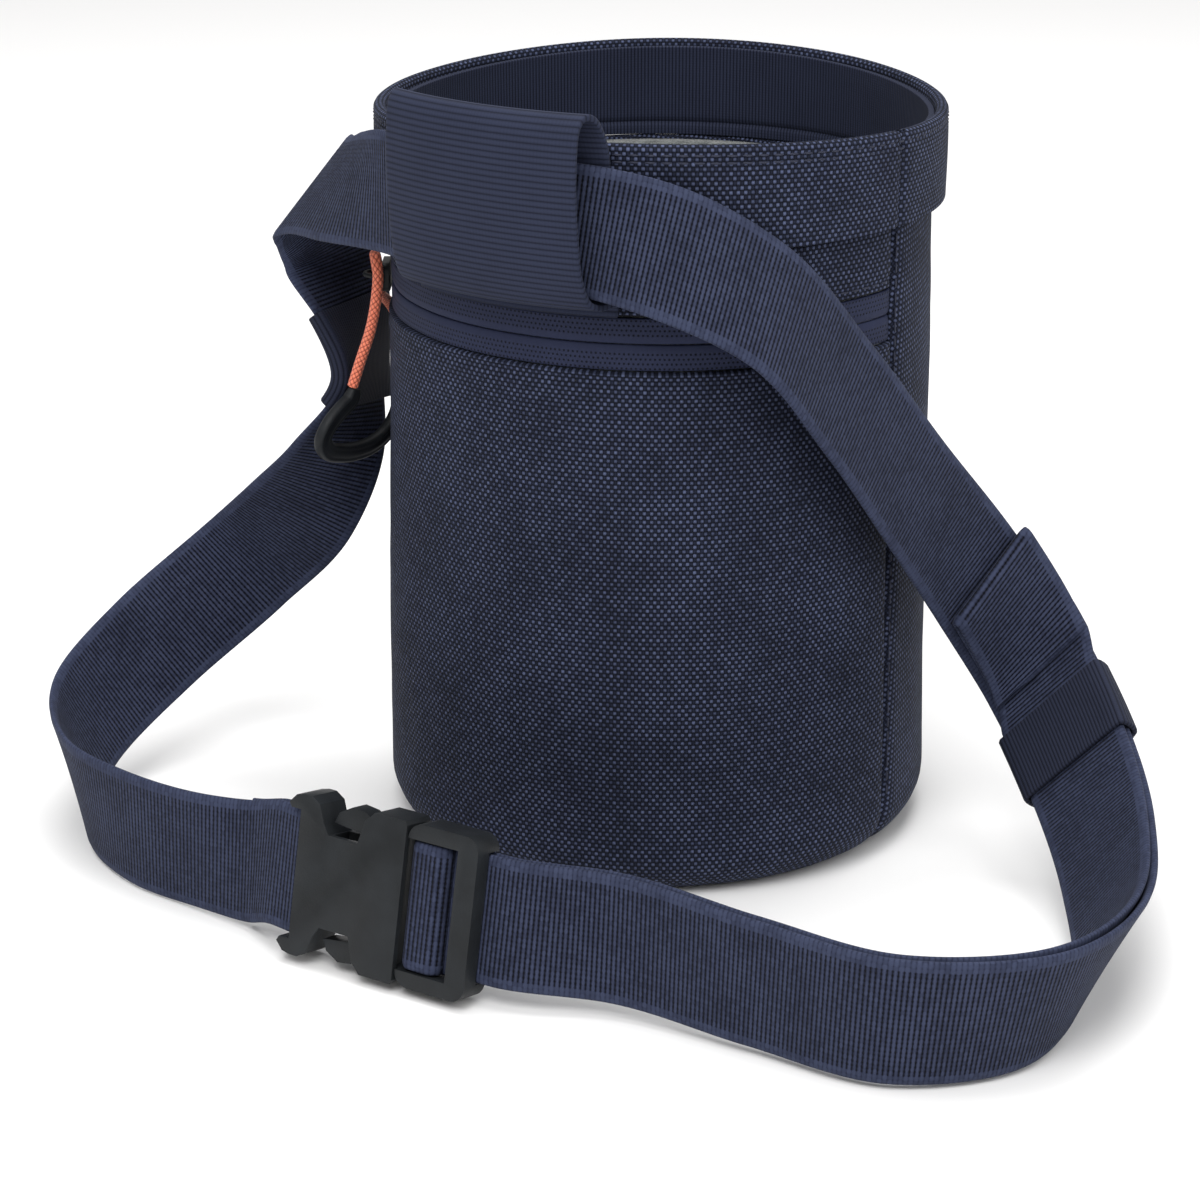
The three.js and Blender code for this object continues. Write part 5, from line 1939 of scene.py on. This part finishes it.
    def loop(self) -> None:
        """The wide tape loop sewn to the bag's front, standing off the mouth band."""
        sizes, drum = self.sizes, self.drum.sizes
        foot = drum.zip_height + drum.zip_tape_width + sizes.loop_foot_gap
        rows = []
        for stand, rise in LOOP_PROFILE:
            rows.append((stand * sizes.loop_bulge, lerp(foot, sizes.loop_crown, rise), 0.0))
        wall_radius = self.drum.cloth_radius(foot + sizes.sewn_lap)
        stand = wall_radius + drum.seam_gap + sizes.loop_thickness / 2 - drum.band_radius
        rows += [(stand, foot + sizes.sewn_lap / 2, 0.0), (stand, foot, 0.0)]
        line = smooth_line(np.array(rows), 90)
        lengths = running_length(line)
        across = np.linspace(-sizes.loop_width / 2, sizes.loop_width / 2, 36)
        grid = np.array([[self.loop_point(x, stand, height) for x in across] for stand, height, _ in line])
        cloth = np.array([[(x, length) for x in across] for length in lengths])
        piece = grid_piece("loop_tape", grid, cloth)
        thicken(piece, sizes.loop_thickness, 0.4 * MM)
        finished(piece, self.finishes.loop, Slot.WEBBING, "belt_loop")
        front = line[len(line) // 2 :]
        margin = 1.0 * MM
        places = np.linspace(across[0] + margin, across[-1] - margin, 120)
        for number, lift in enumerate(sizes.loop_stitch_lifts, start=1):
            height = foot + lift
            nearest = front[int(np.argmin(np.abs(front[:, 1] - height)))]
            stand = nearest[0] + sizes.loop_thickness / 2 - 0.08 * MM
            points = np.array([self.loop_point(x, stand, height) for x in places])
            row = StitchRow(f"loop_stitches_{number}", 2.4 * MM, 1.7 * MM, 0.2 * MM).build(points)
            finished(row, self.finishes.dark_thread, Slot.WEBBING)


# The buckle


class Buckle:
    """The side-release buckle's two fastened halves, with moulded edges."""

    def __init__(self, finishes: Finishes) -> None:
        """Keeps the finishes."""
        self.finishes = finishes

    def build(self) -> None:
        """Makes both halves."""
        for node, name in (("buckle_female", "buckle_socket"), ("buckle_male", "buckle_prongs")):
            piece = softened_copy(node, name, 0.55 * MM)
            finished(piece, self.finishes.plastic, Slot.PLASTIC, node)
        LOG.info("buckle made")


# The zip's pull


@dataclass(frozen=True)
class PullSizes:
    """Sizes of the zip's pull, and the cords' routes from the slider's lug to the bow's ends."""

    cord_diameter: float = 2.3 * MM
    bow_width: float = 32.2 * MM
    bow_height: float = 20.8 * MM
    bow_bar: float = 4.2 * MM
    bow_thickness: float = 2.8 * MM
    bow_centre: tuple[float, float, float] = (-55.0 * MM, -30.7 * MM, 83.4 * MM)
    bow_turn: float = 4.0
    bow_tilt: float = 15.0


PULL_ROUTE = (
    (-0.0485, -0.0327, 0.1166),
    (-0.0486, -0.0328, 0.1182),
    (-0.0474, -0.0347, 0.1206),
    (-0.0453, -0.0368, 0.1202),
    (-0.0445, -0.0374, 0.117),
    (-0.0455, -0.0372, 0.111),
    (-0.0477, -0.0365, 0.1046),
    (-0.0504, -0.0365, 0.098),
    (-0.0524, -0.0369, 0.0922),
)
RETURN_ROUTE = (
    (-0.0485, -0.0327, 0.1158),
    (-0.0491, -0.0317, 0.113),
    (-0.051, -0.0284, 0.1102),
    (-0.053, -0.0237, 0.1075),
    (-0.0546, -0.0193, 0.1035),
    (-0.0554, -0.0169, 0.098),
    (-0.0556, -0.0165, 0.092),
    (-0.0556, -0.0168, 0.086),
)
BOW_PATH = (
    (-0.2, 0.5),
    (-0.23, 0.355),
    (-0.35, 0.235),
    (-0.46, 0.085),
    (-0.5, -0.09),
    (-0.41, -0.28),
    (-0.22, -0.41),
    (0.005, -0.49),
    (0.215, -0.5),
    (0.375, -0.415),
    (0.475, -0.225),
    (0.5, -0.03),
    (0.495, 0.1),
)


class Pull:
    """The zip's pull: two cords and the finger bow that hangs on them."""

    def __init__(self, finishes: Finishes, sizes: PullSizes) -> None:
        """Keeps the finishes and the pull's sizes."""
        self.finishes = finishes
        self.sizes = sizes

    def build(self) -> None:
        """Makes the bow and both cords."""
        bow = self.bow()
        self.cord("pull_cord_braid", "pull_cord", PULL_ROUTE, [bow])
        self.cord("return_cord_braid", "return_cord", RETURN_ROUTE, [bow])
        LOG.info("pull made")

    def bow(self) -> bpy.types.Object:
        """The moulded bow: a flattened bar with two grooves along its outer face."""
        sizes = self.sizes
        width, height = sizes.bow_width - sizes.bow_bar, sizes.bow_height - sizes.bow_bar
        flat = np.array([(across * width, 0.0, up * height) for across, up in BOW_PATH])
        line = smooth_line(flat, 70)
        section = []
        for angle in np.linspace(0.0, 360.0, 33)[:-1]:
            turn = math.radians(angle)
            a = math.copysign(abs(math.cos(turn)) ** 0.7, math.cos(turn))
            b = math.copysign(abs(math.sin(turn)) ** 0.7, math.sin(turn))
            groove = 0.32 * MM * (smooth_bump(a - 0.42, 0.13) + smooth_bump(a + 0.42, 0.13))
            off = b * (sizes.bow_thickness / 2) - math.copysign(min(abs(b), 1.0) * groove, b)
            section.append((a * sizes.bow_bar / 2, off))

        def ends(share: float) -> float:
            """The bar's size, which narrows at both ends."""
            return min(1.0, 0.72 + 9.0 * min(share, 1.0 - share))

        piece = swept("bow_moulding", line, np.array(section), np.array([0.0, 1.0, 0.0]), ends)
        place = Matrix.Translation(sizes.bow_centre)
        place @= Matrix.Rotation(math.radians(90.0 + sizes.bow_turn), 4, "Z")
        place @= Matrix.Rotation(math.radians(sizes.bow_tilt), 4, "X")
        piece.data.transform(place)
        turn_faces_out(piece)
        shade(piece, 60.0)
        return finished(piece, self.finishes.bow, Slot.PLASTIC, "pull_bow")

    def cord(self, name: str, node: str, route: tuple[tuple[float, float, float], ...], ends: list) -> None:
        """One braided cord along its route.

        Args:
            name: the new object's name.
            node: the CAD node that it stands for.
            route: its points, from the lug to the bow.
            ends: the pieces that hang on it.
        """
        diameter = self.sizes.cord_diameter
        line = smooth_line(np.array(route), 40)
        angles = np.linspace(0.0, 2 * math.pi, 17)[:-1]
        section = np.array([(math.cos(a) * diameter / 2, math.sin(a) * diameter / 2) for a in angles])
        piece = swept(name, line, section)
        shade(piece, 60.0)
        finished(piece, self.finishes.cord, Slot.CORD, node)
        path = [tuple(point) for point in line]
        length = float(running_length(line)[-1])
        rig.cord(
            piece,
            exit=route[0],
            length=length,
            diameter=diameter,
            far_end="fitting",
            stiffness="medium",
            lay="hanging",
            path=path,
            with_pieces=ends,
        )


# The studio


@dataclass(frozen=True)
class Lamp:
    """A square soft light: its name, its place, the length of its side and its power."""

    name: str
    place: tuple[float, float, float]
    size: float
    power: float


@dataclass(frozen=True)
class StudioSizes:
    """The photograph's camera, and the light round the bag."""

    camera_place: tuple[float, float, float] = (0.3604, -0.5362, 0.277)
    pitch: float = 70.2
    heading: float = 35.0
    lens: float = 96.0
    sensor: float = 36.0
    room_strength: float = 0.55
    lit_point: tuple[float, float, float] = (0.0, 0.0, 0.08)
    lamps: tuple[Lamp, ...] = (
        Lamp("key", (0.25, -0.9, 1.25), 0.8, 13.0),
        Lamp("fill", (1.1, -0.3, 0.9), 0.9, 5.0),
        Lamp("top", (-0.1, 0.25, 1.5), 1.0, 15.0),
    )


class Studio:
    """The camera, the floor and the lights."""

    def __init__(self, sizes: StudioSizes = StudioSizes()) -> None:
        """Keeps the studio's sizes."""
        self.sizes = sizes

    def build_camera(self) -> None:
        """The camera at the photograph's place."""
        sizes = self.sizes
        data = bpy.data.cameras.new("camera")
        data.lens = sizes.lens
        data.sensor_width = sizes.sensor
        data.clip_start = 0.01
        camera = bpy.data.objects.new("camera", data)
        camera.location = sizes.camera_place
        camera.rotation_euler = (math.radians(sizes.pitch), 0.0, math.radians(sizes.heading))
        bpy.context.scene.collection.objects.link(camera)
        bpy.context.scene.camera = camera

    def build_floor(self) -> None:
        """A wide pale floor."""
        bpy.ops.mesh.primitive_plane_add(size=8.0, location=(0.0, 0.0, 0.0))
        floor = bpy.context.object
        floor.name = "studio_floor"
        material = bpy.data.materials.new("studio_floor")
        material.use_nodes = True
        surface = material.node_tree.nodes["Principled BSDF"]
        surface.inputs["Base Color"].default_value = (0.9, 0.895, 0.89, 1.0)
        surface.inputs["Roughness"].default_value = 0.9
        surface.inputs["Specular IOR Level"].default_value = 0.1
        floor.data.materials.append(material)
        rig.stage(floor)

    def light(self, lamp: Lamp) -> None:
        """Hangs one lamp, turned to the bag.

        Args:
            lamp: the lamp's place, size and power.
        """
        data = bpy.data.lights.new(lamp.name, "AREA")
        data.size = lamp.size
        data.energy = lamp.power
        hung = bpy.data.objects.new(lamp.name, data)
        hung.location = lamp.place
        aim = Vector(self.sizes.lit_point) - Vector(lamp.place)
        hung.rotation_euler = aim.to_track_quat("-Z", "Y").to_euler()
        bpy.context.scene.collection.objects.link(hung)

    def build_light(self) -> None:
        """A pale room with a soft key from the front, a fill from the right and a top light behind."""
        world = bpy.data.worlds.new("studio")
        bpy.context.scene.world = world
        world.use_nodes = True
        background = world.node_tree.nodes["Background"]
        background.inputs["Color"].default_value = (1.0, 1.0, 1.0, 1.0)
        background.inputs["Strength"].default_value = self.sizes.room_strength
        for lamp in self.sizes.lamps:
            self.light(lamp)
        bpy.context.scene.view_settings.view_transform = "Standard"


def write_sizes(cad: object) -> None:
    """Writes the CAD box and the visual model's box."""
    lists = [[list(map(float, corner)) for corner in box] for box in (cad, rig.bounds())]
    with open("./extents.json", "w", encoding="utf-8") as file:
        json.dump({"cad": lists[0], "visual": lists[1]}, file)


def main() -> None:
    """Builds the bag and its studio."""
    logging.basicConfig(level=logging.INFO)
    cad_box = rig.bounds()
    studio = Studio()
    studio.build_camera()
    belt_sizes, pull_sizes = BeltSizes(), PullSizes()
    finishes = Finishes.made(belt_sizes.width / 2, math.pi * pull_sizes.cord_diameter)
    Pull(finishes, pull_sizes).build()
    drum = Drum(finishes)
    drum.build()
    Zip(finishes, drum).build()
    Belt(finishes, drum, belt_sizes, BuckleSizes()).build()
    Buckle(finishes).build()
    studio.build_floor()
    studio.build_light()
    write_sizes(cad_box)


if __name__ == "__main__":
    main()
